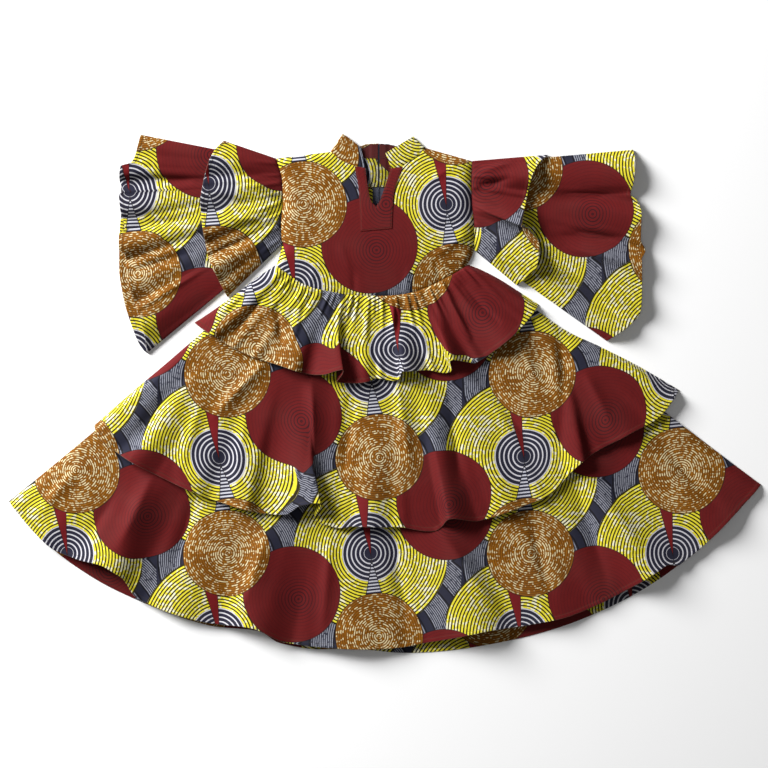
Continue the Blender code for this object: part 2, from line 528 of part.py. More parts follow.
def waist_edge(first, last, count):
    """Lower edge of the bodice between two angles, just above the waist seam."""
    angle = np.linspace(first, last, count)
    return polar(angle, smooth(WAIST, angle) - SEAM / 2)


def bodice_height(xy):
    """Height of the bodice front over its plan."""
    waist = waist_edge(*WAIST_ENDS, 60)
    above_waist = xy[..., 1] - np.interp(xy[..., 0], waist[:, 0], waist[:, 1])
    inside = smooth(BODICE_REST, above_waist)
    armhole = ease(distance_to([ARMHOLE_LEFT, ARMHOLE_RIGHT], xy) / ARMHOLE_ROLL)
    height = ARMHOLE_LEVEL + (inside - ARMHOLE_LEVEL) * armhole
    seams = ease(distance_to([SHOULDER_LEFT, SHOULDER_RIGHT, SIDE_LEFT, SIDE_RIGHT], xy) / BODICE_ROLL)
    return SEAM_LEVEL + (height - SEAM_LEVEL) * seams


def share_at_level(path, level):
    """Share of a curve at a level in Y."""
    shares = np.linspace(0, 1, 400)
    return shares[np.argmin(np.abs(along(path, shares)[:, 1] - level))]


def side_edges(armhole, side, upper_rows, lower_rows):
    """Upper and lower stretch of a bodice edge, each from the bottom up."""
    corner = share_at_level(armhole, CHEST_LEVEL)
    upper = along(armhole, np.linspace(corner, 0, upper_rows))
    underarm = along(armhole, np.linspace(1, corner, lower_rows // 2 + 1))
    seam = along(side, np.linspace(1, 0, lower_rows - lower_rows // 2))
    return upper, np.concatenate([seam[:-1], underarm])


def bodice_front():
    """Front of the bodice, in one piece up to the slit and in two beside it."""
    upper_rows, lower_rows, left_columns, right_columns = 10, 10, 11, 11
    left_upper, left_lower = side_edges(ARMHOLE_LEFT, SIDE_LEFT, upper_rows, lower_rows)
    right_upper, right_lower = side_edges(ARMHOLE_RIGHT, SIDE_RIGHT, upper_rows, lower_rows)
    left_chest = along([left_upper[0], SLIT_END], np.linspace(0, 1, left_columns))
    right_chest = along([SLIT_END, right_upper[0]], np.linspace(0, 1, right_columns))
    chest = np.concatenate([left_chest, right_chest[1:]])
    waist = waist_edge(*WAIST_ENDS, len(chest))
    left_lower[0], right_lower[0] = waist[0], waist[-1]
    lower = plan_grid(waist, chest, left_lower, right_lower)
    left_top = np.concatenate([along(SHOULDER_LEFT, np.linspace(0, 1, 7))[:-1],
                               along(NECK_LEFT, np.linspace(0, 1, 5))])
    right_top = np.concatenate([along(NECK_RIGHT, np.linspace(0, 1, 6))[:-1],
                                along(SHOULDER_RIGHT, np.linspace(0, 1, 6))])
    slit = np.linspace(0, 1, upper_rows)
    upper_left = plan_grid(left_chest, left_top, left_upper, along(SLIT_LEFT, slit))
    upper_right = plan_grid(right_chest, right_top, along(SLIT_RIGHT, slit), right_upper)
    patches = [grid_triangles(with_height(xy, bodice_height(xy))) for xy in (lower, upper_left, upper_right)]
    wall("bodice_front", np.concatenate(patches), PRINT_MAROON)


def bodice_back():
    """The two halves of the back, flat on the surface, with the zip between them."""
    rows = 18
    halves = (("left", ARMHOLE_LEFT, SIDE_LEFT, SHOULDER_LEFT, BACK_NECK_LEFT, WAIST_ENDS[0], 0),
              ("right", ARMHOLE_RIGHT, SIDE_RIGHT, SHOULDER_RIGHT, BACK_NECK_RIGHT, 0, WAIST_ENDS[1]))
    for name, armhole, side, shoulder, neck, first, last in halves:
        outer = np.concatenate([along(side, np.linspace(1, 0, 4))[:-1],
                                along(armhole, np.linspace(1, 0, rows - 3))])
        waist = waist_edge(first, last, 8)
        if name == "left":
            top = np.concatenate([along(shoulder, np.linspace(0, 1, 4))[:-1],
                                  along(neck, np.linspace(0, 1, 5))])
            top[-1, 0] = waist[-1, 0] = CENTRE_BACK - CENTRE_GAP / 2
            outer[0] = waist[0]
            middle = along([waist[-1], top[-1]], np.linspace(0, 1, rows))
            xy = plan_grid(waist, top, outer, middle)
        else:
            top = np.concatenate([along(neck, np.linspace(0, 1, 5))[:-1],
                                  along(shoulder, np.linspace(0, 1, 4))])
            top[0, 0] = waist[0, 0] = CENTRE_BACK + CENTRE_GAP / 2
            outer[0] = waist[-1]
            middle = along([waist[0], top[0]], np.linspace(0, 1, rows))
            xy = plan_grid(waist, top, middle, outer)
        wall(f"bodice_back_{name}", grid_triangles(with_height(xy, ON_FLOOR)), PRINT_YELLOW)


def placket():
    """Facing on the front round the slit, one layer above the bodice front."""
    lower_rows, upper_rows, side_columns = 4, 9, 4
    lower, upper = np.linspace(0, 1, lower_rows), np.linspace(0, 1, upper_rows)
    edges = []
    for edge in (PLACKET_LEFT, PLACKET_RIGHT):
        share = share_at_level(edge, PLACKET_SPLIT)
        edges.append((along(edge, lower * share), along(edge, share + upper * (1 - share))))
    (left_lower, left_upper), (right_lower, right_upper) = edges
    across = np.linspace(0, 1, side_columns)
    left_middle = along([left_lower[-1], SLIT_END], across)
    right_middle = along([SLIT_END, right_lower[-1]], across)
    middle = np.concatenate([left_middle, right_middle[1:]])
    bottom = along([left_lower[0], right_lower[0]], np.linspace(0, 1, len(middle)))
    slit_left = along(SLIT_LEFT, upper)
    slit_right = along(SLIT_RIGHT, upper)
    left_top = along([left_upper[-1], slit_left[-1]], across)
    right_top = along([slit_right[-1], right_upper[-1]], across)
    plans = (plan_grid(bottom, middle, left_lower, right_lower),
             plan_grid(left_middle, left_top, left_upper, slit_left),
             plan_grid(right_middle, right_top, slit_right, right_upper))
    patches = [grid_triangles(with_height(xy, bodice_height(xy) + PITCH)) for xy in plans]
    wall("neck_placket", np.concatenate(patches), PRINT_MAROON)


def folded_height(front, back, edge, distance):
    """Heights of a front and a back layer that run into each other in a round fold at distance 0."""
    middle = (edge + back) / 2
    radius = (edge - back) / 2
    rolled = np.sqrt(1 - (1 - np.clip(distance / radius, 0, 1)) ** 2)
    return middle + (front - middle) * rolled, middle + (back - middle) * rolled


def collar():
    """The two halves of the stand collar, each in one strip folded at the side of the neck."""
    rise = np.linspace(0, 1, 5)[:, None, None]
    bend = np.array(FOLD_PLACES) * (NECK_LEVEL - ON_FLOOR) / 2
    halves = (("left", NECK_LEFT, COLLAR_TOP_LEFT, BACK_NECK_LEFT, COLLAR_BACK_TOP_LEFT, -1),
              ("right", NECK_RIGHT[::-1], COLLAR_TOP_RIGHT, BACK_NECK_RIGHT[::-1], COLLAR_BACK_TOP_RIGHT, 1))
    for name, front_base, front_top, back_base, back_top, side in halves:
        layers = []
        for base, top in ((front_base, front_top), (back_base, back_top)):
            length = np.linalg.norm(np.array(base[0]) - np.array(base[-1]))
            places = np.concatenate([bend / length, np.linspace(bend[-1] / length, 1, 9)[1:]])
            lower = along(base, places) + np.array([0, COLLAR_SEAM])
            upper = along(top, places)
            xy = (1 - rise) * lower[None] + rise * upper[None]
            layers.append((xy, places * length))
        layers[1][0][..., 0] += side * CENTRE_GAP / 2 * (layers[1][1] / layers[1][1][-1])
        front = folded_height(NECK_LEVEL, ON_FLOOR, NECK_LEVEL, layers[0][1])[0]
        back = folded_height(NECK_LEVEL, ON_FLOOR, NECK_LEVEL, layers[1][1])[1]
        front = with_height(layers[0][0], front)[:, ::-1]
        back = with_height(layers[1][0], back)[:, 1:]
        strip = np.concatenate([front, back], axis=1)
        if side < 0:
            strip = strip[::-1]
        wall(f"collar_{name}", grid_triangles(strip), PRINT_OCHRE)


def back_zip():
    """Zip tape over the two back halves, with the coil as a low rib along its middle."""
    across = np.array([-1, -ZIP_COIL_WIDTH / ZIP_WIDTH, 0, ZIP_COIL_WIDTH / ZIP_WIDTH, 1]) * ZIP_WIDTH / 2
    up = np.linspace(ZIP_BOTTOM, ZIP_TOP, 4)
    xy = np.stack(np.meshgrid(CENTRE_BACK + across, up), axis=-1)
    level = CLOTH + LAYER_GAP + ZIP_TAPE / 2 + ZIP_COIL_HEIGHT * (across == 0)
    wall("back_zip", grid_triangles(with_height(xy, level[None, :])), ZIP_NAVY, ZIP_TAPE)


def level_at(path, x):
    """Level in Y of a curve at places in X."""
    curve = along(path, np.linspace(0, 1, 200))
    order = np.argsort(curve[:, 0])
    return np.interp(x, curve[order, 0], curve[order, 1])


def facings():
    """The facings inside the back neck and the collar, two halves each."""
    halves = (("left", BACK_NECK_LEFT, COLLAR_BACK_TOP_LEFT, -1),
              ("right", BACK_NECK_RIGHT, COLLAR_BACK_TOP_RIGHT, 1))
    for name, neck, collar_top, side in halves:
        x = CENTRE_BACK + side * np.array([strip.from_centre for strip in FACING])
        height = np.array([strip.height for strip in FACING])
        seam = level_at(neck, x)
        bottom = np.full(len(x), FACING_BOTTOM)
        top = level_at(collar_top, x) - FACING_MARGIN
        pieces = (("neck_facing", bottom, seam - SEAM / 2), ("collar_facing", seam + SEAM / 2, top))
        for piece, low, high in pieces:
            grid = np.stack([np.stack([x, low, height], axis=-1), np.stack([x, high, height], axis=-1)])
            wall(f"{piece}_{name}", grid_triangles(grid[:, ::side]), PRINT_YELLOW)


def sleeve_layer(sleeve, hem, share, reach):
    """Front and back heights and the plan of a sleeve between its armhole and a hem."""
    armhole = along(sleeve.armhole, sleeve.inset + share * (1 - 2 * sleeve.inset))
    armhole[..., 0] += sleeve.side * SLEEVE_SEAM
    xy = armhole + reach[..., None] * (along(hem, share) - armhole)
    ends = [along(sleeve.armhole, np.array([end])) * (1 - reach[..., None]) + along(hem, np.array([end])) *
            reach[..., None] for end in (0.0, 1.0)]
    distance = np.minimum(share, 1 - share) * np.linalg.norm(ends[1] - ends[0], axis=-1)
    apart = xy - np.array(sleeve.apex)
    angle = np.degrees(np.arctan2(-apart[..., 1], sleeve.side * apart[..., 0]))
    grown = np.clip((reach - sleeve.start) / (1 - sleeve.start), 0, 1) ** SLEEVE_GROWTH
    lift = np.zeros(angle.shape)
    lean = np.zeros(angle.shape)
    for pleat in sleeve.pleats:
        shape = grown * bump(angle - pleat.angle, pleat.up, pleat.down)
        lift += pleat.height * shape
        lean += pleat.lean * shape
    for tuck in sleeve.tucks:
        across = bump(angle - tuck.angle, tuck.half_width, tuck.half_width)
        lift += tuck.height * gather_rise(reach / tuck.reach) * across
    edge = smooth(sleeve.edge, reach)
    rolled = ease(distance / SLEEVE_ROLL)
    front = edge + (smooth(sleeve.rest, reach) + lift - edge) * rolled
    back = np.interp(reach, *zip(*sleeve.back))
    front, back = folded_height(front, back, edge, distance)
    turn = np.radians(angle)
    down = np.stack([-sleeve.side * np.sin(turn), -np.cos(turn)], axis=-1)
    return with_height(xy + down * (lean * rolled)[..., None], front), with_height(xy, back)


def sleeve_tube(name, sleeve, front_columns, back_columns, reach, colour):
    """One flounce of a sleeve as a flattened tube."""
    reach = np.array(reach)[:, None]
    fine = np.linspace(0, 1, 1001)[None, :]
    hem_line = sleeve_layer(sleeve, sleeve.hem, fine, np.ones((1, 1)))[0][0]
    places = even_places(hem_line, front_columns)
    bend = np.array(FOLD_PLACES) * (smooth(sleeve.edge, reach) - np.interp(reach, *zip(*sleeve.back))) / 2
    ends = [along(sleeve.armhole, np.array([end])) * (1 - reach) + along(sleeve.hem, np.array([end])) * reach
            for end in (0.0, 1.0)]
    roll = bend / np.linalg.norm(ends[1] - ends[0], axis=1)[:, None]

    def shares(inner):
        """Places across the tube, with three at each side fold, for each row."""
        spread = roll[:, -1:] + inner[None, :] * (1 - 2 * roll[:, -1:])
        return np.concatenate([roll[:, :-1], spread, 1 - roll[:, -2::-1]], axis=1)

    front_share = shares(places)
    back_share = shares(np.linspace(0, 1, back_columns))
    front = sleeve_layer(sleeve, sleeve.hem, front_share, reach * np.ones_like(front_share))[0]
    back_hem = sleeve.back_hem or sleeve.hem
    back = sleeve_layer(sleeve, back_hem, back_share, reach * np.ones_like(back_share))[1]
    ring = np.concatenate([front, back[:, -2:0:-1]], axis=1)
    if sleeve.side > 0:
        ring = ring[:, ::-1]
    wall(name, grid_triangles(ring, closed=True), colour)


def sleeves():
    """The upper and the lower flounce of both sleeves."""
    upper = (0, 0.15, 0.4, 0.7, 1)
    sleeve_tube("sleeve_upper_left", UPPER_LEFT, 30, 14, upper, PRINT_YELLOW)
    sleeve_tube("sleeve_upper_right", UPPER_RIGHT, 34, 14, upper, PRINT_MAROON)
    sleeve_tube("sleeve_lower_left", LOWER_LEFT, 32, 14, (0, 0.25, 0.5, 0.6, 0.7, 0.85, 1), PRINT_OCHRE)
    sleeve_tube("sleeve_lower_right", LOWER_RIGHT, 30, 14, (0, 0.3, 0.55, 0.66, 0.76, 0.88, 1), PRINT_MAROON)


def main():
    for old in list(bpy.data.objects):
        bpy.data.objects.remove(old, do_unlink=True)
    skirt_layers()
    bodice_front()
    bodice_back()
    placket()
    collar()
    back_zip()
    facings()
    sleeves()


main()
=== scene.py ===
"""Looks of the flat-laid dress: printed cotton with folds, gathers, hems and stitching."""
import math
from collections import namedtuple

import bpy
import numpy as np
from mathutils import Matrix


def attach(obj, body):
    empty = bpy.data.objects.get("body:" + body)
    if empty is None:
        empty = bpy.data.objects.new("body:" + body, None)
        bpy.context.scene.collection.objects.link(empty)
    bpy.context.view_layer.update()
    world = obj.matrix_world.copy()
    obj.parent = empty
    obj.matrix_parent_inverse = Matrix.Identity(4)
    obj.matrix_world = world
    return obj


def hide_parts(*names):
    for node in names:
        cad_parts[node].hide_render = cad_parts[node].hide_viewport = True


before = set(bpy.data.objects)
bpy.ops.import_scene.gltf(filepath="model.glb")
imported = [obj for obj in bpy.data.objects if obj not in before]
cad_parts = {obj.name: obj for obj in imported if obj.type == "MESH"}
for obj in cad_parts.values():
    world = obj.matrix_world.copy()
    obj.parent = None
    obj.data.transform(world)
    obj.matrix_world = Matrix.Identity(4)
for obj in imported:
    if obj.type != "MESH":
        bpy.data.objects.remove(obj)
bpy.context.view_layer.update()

# Cloth: half the thickness of a panel and of its turned hem, the width of the hem, and how far the
# stitches lie from a hem and from a topstitched edge
HALF_CLOTH = 0.0004
HALF_HEM = 0.0006
HEM_WIDTH = 0.0092
STITCH_LINE = 0.0078
EDGE_STITCH = 0.0022
SHARP_ANGLE = 60

# Heights of the middle of the cloth: on the surface, from one layer to the next, and down to a closed edge
ON_FLOOR = 0.0006
PITCH = 0.0016
EDGE_DROP = 0.0007

# Seams: the gap between two pieces, the heights where the front pieces meet them, and the dip beside them
SEAM = 0.0004
SEAM_LEVEL = ON_FLOOR + PITCH - EDGE_DROP
ARMHOLE_LEVEL = 0.0058
NECK_LEVEL = 0.0064
DITCH_WIDTH = 0.005
DITCH_DEPTH = 0.0012

# The skirt layers spread round this point, and their side columns are pulled towards the side folds
SKIRT_APEX = (-0.012, 0.429)
WAIST_RADIUS = 0.245
SIDE_PULL = 6


def listed(kind, *values):
    """Rows of a table, each with its columns named."""
    return [kind(*row) for row in values]


# By the distance from an edge: half the thickness of the cloth at a hem, at the collar's top and at the
# zip's tape, and how far the placket sinks at its edge and at its stitches
Profile = namedtuple("Profile", "distance value")
HEM_PROFILE = listed(Profile,
    (0, 0.0002), (0.0004, 0.00048), (0.0012, HALF_HEM), (HEM_WIDTH - 0.0006, HALF_HEM),
    (HEM_WIDTH, HALF_CLOTH))
COLLAR_PROFILE = listed(Profile, (0, 0.0003), (0.0004, 0.0006), (0.001, HALF_HEM), (0.003, HALF_HEM))
TAPE_PROFILE = listed(Profile, (0, 0.0002), (0.0004, 0.00035))
PLACKET_EDGE = listed(Profile, (0, 0.0006), (0.0008, 0.0001), (0.002, 0))
STITCH_DIP = listed(Profile, (0, 0.0002), (0.0009, 0))

# Distances of the closest rows of points from the hem and from the waist seam
HEM_ROWS = (HEM_WIDTH + 0.001, HEM_WIDTH, HEM_WIDTH - 0.0008, 0.002, 0.001, 0.0004, 0)
SEAM_ROWS = (0, 0.0012, 0.0026, DITCH_WIDTH)

# Waist seam and hems, by angle from the way down the page and by radius
Row = namedtuple("Row", "angle radius")
WAIST = listed(Row,
    (-52, 0.269), (-42.6, 0.261), (-36, 0.2575), (-20.6, 0.2414), (0, 0.232), (16.8, 0.2346),
    (31.5, 0.2364), (41.4, 0.242), (52, 0.2505))
SKIRT_HEM = listed(Row,
    (-49, 0.98), (-42.2, 0.985), (-38.7, 0.969), (-35, 0.9456), (-33.1, 0.9445), (-30, 0.965),
    (-27, 0.962), (-21, 0.948), (-15.5, 0.9297), (-11.4, 0.9425), (-5.3, 0.9396), (2.8, 0.935),
    (6.2, 0.929), (12.5, 0.9255), (18.6, 0.938), (24.1, 0.9517), (33.4, 0.958), (36.6, 0.9597),
    (38, 0.975), (41.4, 0.9766), (46.7, 0.975), (51.4, 0.977))
SKIRT_BACK_HEM = listed(Row,
    (-49, 0.98), (-42, 0.985), (-35.2, 0.979), (-30.4, 0.97), (-21.1, 0.954), (-14.8, 0.934),
    (-12.1, 0.947), (-9.2, 0.948), (-2.6, 0.939), (3, 0.947), (13.6, 0.955), (24.3, 0.967),
    (36.2, 0.9756), (51.4, 0.977))
TIER_HEM = listed(Row,
    (-49.2, 0.752), (-47.3, 0.76), (-42.9, 0.753), (-36.6, 0.737), (-25.9, 0.717), (-18.5, 0.7034),
    (-16.5, 0.6934), (-15.5, 0.6686), (-13.5, 0.656), (-11.1, 0.686), (-9, 0.697), (-6.6, 0.7),
    (-4, 0.6937), (2.5, 0.694), (9, 0.71), (12.4, 0.691), (16.5, 0.71), (23.9, 0.7125), (28.2, 0.7165),
    (34.5, 0.6945), (37.5, 0.694), (44.2, 0.7114), (50.8, 0.7345), (55, 0.7325))
TIER_BACK_HEM = listed(Row, (-49.2, 0.75), (-40, 0.735), (0, 0.7), (40, 0.715), (55, 0.733))
PEPLUM_HEM = listed(Row,
    (-52.2, 0.4665), (-44.55, 0.451), (-34.35, 0.4325), (-28.15, 0.421), (-20.1, 0.413), (-18, 0.4044),
    (-16.5, 0.392), (-15.2, 0.387), (-13.7, 0.4), (-12.2, 0.413), (-8, 0.4106), (-3.4, 0.405),
    (-0.75, 0.397), (5.3, 0.4035), (8.3, 0.387), (13.9, 0.392), (20.1, 0.41), (23.5, 0.389),
    (27.8, 0.414), (34.9, 0.412), (43.4, 0.41), (52, 0.406))
PEPLUM_BACK_HEM = listed(Row, (-52.2, 0.4665), (-46, 0.43), (-40, 0.41), (0, 0.402), (52, 0.406))

# Side folds of each layer, where its front turns over to its back
Side = namedtuple("Side", "radius left right")
PEPLUM_SIDES = listed(Side,
    (0.24, -50, 45.6), (0.275, -50.6, 48.6), (0.315, -51.3, 50.3), (0.35, -51.4, 51), (0.4, -51.6, 51.7),
    (0.466, -52.2, 52))
TIER_SIDES = listed(Side,
    (0.24, -48.1, 44), (0.275, -48.8, 46.6), (0.315, -49.5, 48.6), (0.35, -49.7, 49.4),
    (0.41, -49.6, 50.3), (0.47, -49.2, 50.8), (0.553, -49.2, 52.8), (0.642, -49.3, 54.2),
    (0.76, -49.2, 55))
SKIRT_SIDES = listed(Side,
    (0.24, -46.1, 42), (0.275, -47, 44.7), (0.315, -47.8, 46.9), (0.35, -48.2, 47.9), (0.41, -48.3, 49),
    (0.55, -48.2, 50.3), (0.73, -48.5, 50.9), (0.98, -49, 51.4))
RAMP_START = 0.006
SHORT_RAMP = 0.030
LONG_RAMP = 0.036

# How high the middle of the cloth lies inside each front layer, by radius
Rest = namedtuple("Rest", "place height")
SKIRT_REST = listed(Rest, (0.23, 0.0054), (0.29, 0.0066), (0.6, 0.0066), (0.8, 0.009), (0.98, 0.012))
TIER_REST = listed(Rest, (0.23, 0.0072), (0.3, 0.0095), (0.42, 0.0105), (0.55, 0.014), (0.76, 0.018))
PEPLUM_REST = listed(Rest, (0.23, 0.009), (0.28, 0.0125), (0.36, 0.016), (0.47, 0.02))
SIDE_ROLL = listed(Rest, (0.23, 0.01), (0.3, 0.014), (0.42, 0.014), (0.98, 0.024))

# Folds of the front layers: crest at the hem and at its start in degrees, half-widths in degrees, height,
# the radius where the fold starts, and how far it leans to the right. The low ones are only in this script.
Fold = namedtuple("Fold", "hem_angle top_angle left right height start lean", defaults=[0])
SKIRT_FOLDS = listed(Fold,
    (-43, -44, 4, 4, 0.008, 0.68), (-34.5, -37, 7, 4.5, 0.024, 0.64), (-25, -26, 5, 5, 0.01, 0.66),
    (-15.5, -17, 5, 6, 0.022, 0.64), (-3, -4, 7, 7, 0.012, 0.64), (12.5, 8, 7, 5, 0.026, 0.62),
    (22, 20, 5, 5, 0.008, 0.66), (34, 34.2, 3.5, 6, 0.02, 0.62), (45, 44, 4, 4, 0.01, 0.66),
    (-46, -45, 1.4, 2, 0.0022, 0.74), (-30.5, -30, 1.6, 1.2, 0.0026, 0.78),
    (-21, -22.5, 2.2, 1.5, 0.0022, 0.72), (-9.5, -9, 1.5, 2.4, 0.003, 0.76), (2, 1, 2, 1.6, 0.002, 0.74),
    (7, 5.5, 1.4, 1.8, 0.0026, 0.8), (18, 17, 1.8, 1.4, 0.0028, 0.74), (27.5, 27, 1.4, 2.2, 0.0024, 0.78),
    (40.5, 40, 1.6, 2, 0.002, 0.72))
TIER_FOLDS = listed(Fold,
    (-41.5, -43, 2.5, 6, 0.016, 0.46), (-31, -34, 5, 4, 0.01, 0.46), (-22, -27, 6, 2.5, 0.016, 0.44),
    (-13.5, -19, 5, 3.1, 0.032, 0.44, 0.036), (-2, 0, 5, 5, 0.012, 0.44),
    (12.5, 12, 2.5, 4.5, 0.028, 0.42, -0.008), (21, 21, 4, 4, 0.008, 0.46),
    (34.5, 48, 3, 3, 0.018, 0.4, 0.012), (44, 46, 4, 4, 0.01, 0.5), (-46, -46.5, 1.6, 2, 0.0022, 0.5),
    (-36, -38, 1.5, 2.2, 0.0026, 0.46), (-27, -30.5, 1.4, 1.8, 0.0022, 0.5),
    (-6, -5.5, 1.6, 1.4, 0.003, 0.46), (4, 4.5, 2.2, 1.6, 0.0028, 0.44),
    (17, 16.5, 1.2, 1.8, 0.0024, 0.48), (27, 27.5, 1.8, 1.4, 0.003, 0.46),
    (39.5, 42, 1.4, 2, 0.0022, 0.52), (49, 49.5, 1.5, 1.5, 0.0024, 0.56))
PEPLUM_FOLDS = listed(Fold,
    (-47, -46, 5, 3, 0.012, 0.28), (-24, -26, 9, 5, 0.018, 0.27), (-15.2, -18, 6, 3.8, 0.029, 0.27, 0.03),
    (-4, -6, 4, 4, 0.01, 0.28), (9, 8, 4, 6, 0.026, 0.27, -0.01), (23.5, 22, 3, 3.5, 0.028, 0.27, -0.012),
    (38, 36, 8, 10, 0.02, 0.27), (-41, -41, 2.2, 1.6, 0.003, 0.28), (-35, -35.5, 1.8, 2.6, 0.0034, 0.27),
    (-8.5, -9.5, 1.4, 1.8, 0.0026, 0.27), (0.5, 0, 1.6, 1.6, 0.0034, 0.28),
    (16, 15, 1.8, 1.4, 0.0036, 0.27), (29, 28, 1.6, 2.4, 0.004, 0.27), (46, 45, 1.8, 1.8, 0.0026, 0.3))
FOLD_GROWTH = 1.3

# Gathers below the waist seam, and a finer set between them
PUCKER_RISE = 0.6
Gathers = namedtuple("Gathers", "count first step drift half_width height reach")
GATHERS = Gathers(26, -46.5, 3.7, 0.9, 1.6, 0.0034, 0.10)
FINE_GATHERS = Gathers(33, -47.5, 2.9, 0.8, 0.9, 0.0011, 0.05)

# Height of the side folds of each front layer, by the share of the way from waist to hem
SKIRT_EDGE = listed(Rest, (0, 0.0054), (0.74, 0.0054), (0.8, 0.0022), (1, 0.0022))
TIER_EDGE = listed(Rest, (0, 0.0038), (0.5, 0.0038), (0.58, 0.0022), (1, 0.0022))
PEPLUM_EDGE = listed(Rest, (0, 0.0022), (1, 0.0022))

# Creases in plan: a ridge, or a trough where the height is negative, from one place to another, with its
# own half-width on the left and on the right of the way there. The crest is rounded over a small distance.
Crease = namedtuple("Crease", "x y to_x to_y left right height")
CREST_ROUND = 0.0018
CREASE_END = 0.1
SKIRT_CREASES = listed(Crease,
    (-0.466, -0.165, -0.528, -0.3, 0.04, 0.032, 0.01),
    (0.102, -0.262, 0.222, -0.431, 0.06, 0.034, 0.0115),
    (0.376, -0.165, 0.442, -0.365, 0.024, 0.04, -0.008), (0.412, -0.18, 0.505, -0.3, 0.03, 0.022, 0.006),
    (-0.235, -0.275, -0.285, -0.43, 0.036, 0.026, 0.0075),
    (0.015, -0.29, 0.045, -0.445, 0.026, 0.03, -0.0065),
    (-0.61, -0.14, -0.69, -0.235, 0.028, 0.02, 0.006), (0.56, -0.11, 0.665, -0.225, 0.026, 0.03, -0.0065),
    (-0.38, -0.205, -0.425, -0.365, 0.022, 0.028, -0.0065),
    (-0.11, -0.29, -0.125, -0.47, 0.03, 0.022, 0.0065), (0.29, -0.25, 0.33, -0.4, 0.026, 0.018, -0.005),
    (-0.54, -0.2, -0.6, -0.3, 0.02, 0.026, -0.0045))
TIER_CREASES = listed(Crease,
    (-0.148, 0.035, -0.138, -0.15, 0.036, 0.026, 0.0095),
    (0.35, 0.125, 0.352, -0.09, 0.03, 0.014, -0.0075), (-0.235, 0.07, -0.34, -0.04, 0.03, 0.022, 0.0085),
    (-0.435, 0, -0.515, -0.13, 0.03, 0.026, -0.0085), (-0.365, -0.005, -0.41, -0.16, 0.034, 0.024, 0.007),
    (0.025, 0.02, 0.05, -0.15, 0.032, 0.024, 0.008), (0.17, 0.07, 0.235, -0.02, 0.028, 0.024, -0.0075),
    (0.235, -0.02, 0.3, -0.11, 0.026, 0.022, -0.0065), (0.455, 0.09, 0.545, 0.01, 0.026, 0.02, 0.0065),
    (0.13, -0.01, 0.15, -0.17, 0.022, 0.026, -0.006), (-0.065, 0.01, -0.08, -0.15, 0.022, 0.028, -0.0065),
    (-0.28, -0.04, -0.3, -0.18, 0.026, 0.02, 0.0055), (0.27, 0.1, 0.3, 0.03, 0.018, 0.022, 0.005),
    (0.4, 0.04, 0.45, -0.06, 0.024, 0.018, 0.0055))
PEPLUM_CREASES = listed(Crease,
    (-0.27, 0.205, -0.325, 0.15, 0.009, 0.009, -0.005), (-0.245, 0.19, -0.3, 0.125, 0.008, 0.012, -0.006),
    (-0.215, 0.18, -0.205, 0.09, 0.011, 0.014, -0.006), (-0.17, 0.185, -0.18, 0.11, 0.008, 0.018, 0.0045),
    (0.118, 0.21, 0.168, 0.115, 0.01, 0.02, 0.0075), (0.15, 0.22, 0.225, 0.145, 0.01, 0.016, -0.0045),
    (0.02, 0.185, 0.012, 0.095, 0.008, 0.016, 0.004), (-0.06, 0.185, -0.085, 0.105, 0.008, 0.014, -0.004))
BODICE_CREASES = listed(Crease,
    (0.1, 0.278, 0.174, 0.328, 0.01, 0.018, 0.0032), (-0.2, 0.365, -0.12, 0.335, 0.018, 0.01, 0.0026),
    (-0.202, 0.33, -0.13, 0.285, 0.012, 0.016, -0.0024), (0.172, 0.352, 0.1, 0.33, 0.012, 0.016, -0.0024),
    (-0.15, 0.212, -0.14, 0.262, 0.01, 0.014, 0.0018), (-0.06, 0.2, -0.064, 0.245, 0.009, 0.012, -0.0016),
    (0.04, 0.2, 0.046, 0.25, 0.009, 0.012, 0.0018), (0.11, 0.225, 0.1, 0.27, 0.009, 0.012, -0.0018),
    (-0.17, 0.46, -0.1, 0.425, 0.014, 0.018, 0.0024), (0.135, 0.455, 0.08, 0.42, 0.014, 0.018, 0.0022),
    (-0.09, 0.3, -0.07, 0.25, 0.014, 0.02, 0.0016))
UPPER_SLEEVE_CREASES = listed(Crease,
    (-0.3, 0.44, -0.215, 0.398, 0.018, 0.026, 0.007), (-0.34, 0.285, -0.245, 0.318, 0.02, 0.026, -0.007),
    (-0.235, 0.35, -0.32, 0.352, 0.018, 0.014, 0.0045),
    (-0.345, 0.395, -0.26, 0.378, 0.014, 0.02, -0.005), (0.184, 0.412, 0.245, 0.43, 0.014, 0.018, -0.008),
    (0.184, 0.376, 0.262, 0.338, 0.018, 0.024, 0.006), (0.184, 0.34, 0.232, 0.318, 0.012, 0.014, -0.004),
    (0.186, 0.302, 0.245, 0.25, 0.014, 0.02, 0.006), (0.19, 0.445, 0.25, 0.462, 0.014, 0.016, 0.005))
LOWER_SLEEVE_CREASES = listed(Crease,
    (-0.505, 0.437, -0.395, 0.428, 0.016, 0.012, -0.006),
    (-0.495, 0.345, -0.39, 0.345, 0.024, 0.018, -0.0065),
    (-0.5, 0.165, -0.37, 0.245, 0.024, 0.028, 0.007), (-0.49, 0.25, -0.385, 0.285, 0.018, 0.022, -0.0065),
    (0.345, 0.245, 0.462, 0.165, 0.022, 0.032, -0.009), (0.35, 0.398, 0.49, 0.402, 0.016, 0.026, -0.008),
    (0.345, 0.318, 0.485, 0.314, 0.018, 0.024, -0.008), (0.37, 0.29, 0.49, 0.262, 0.014, 0.02, 0.0045))
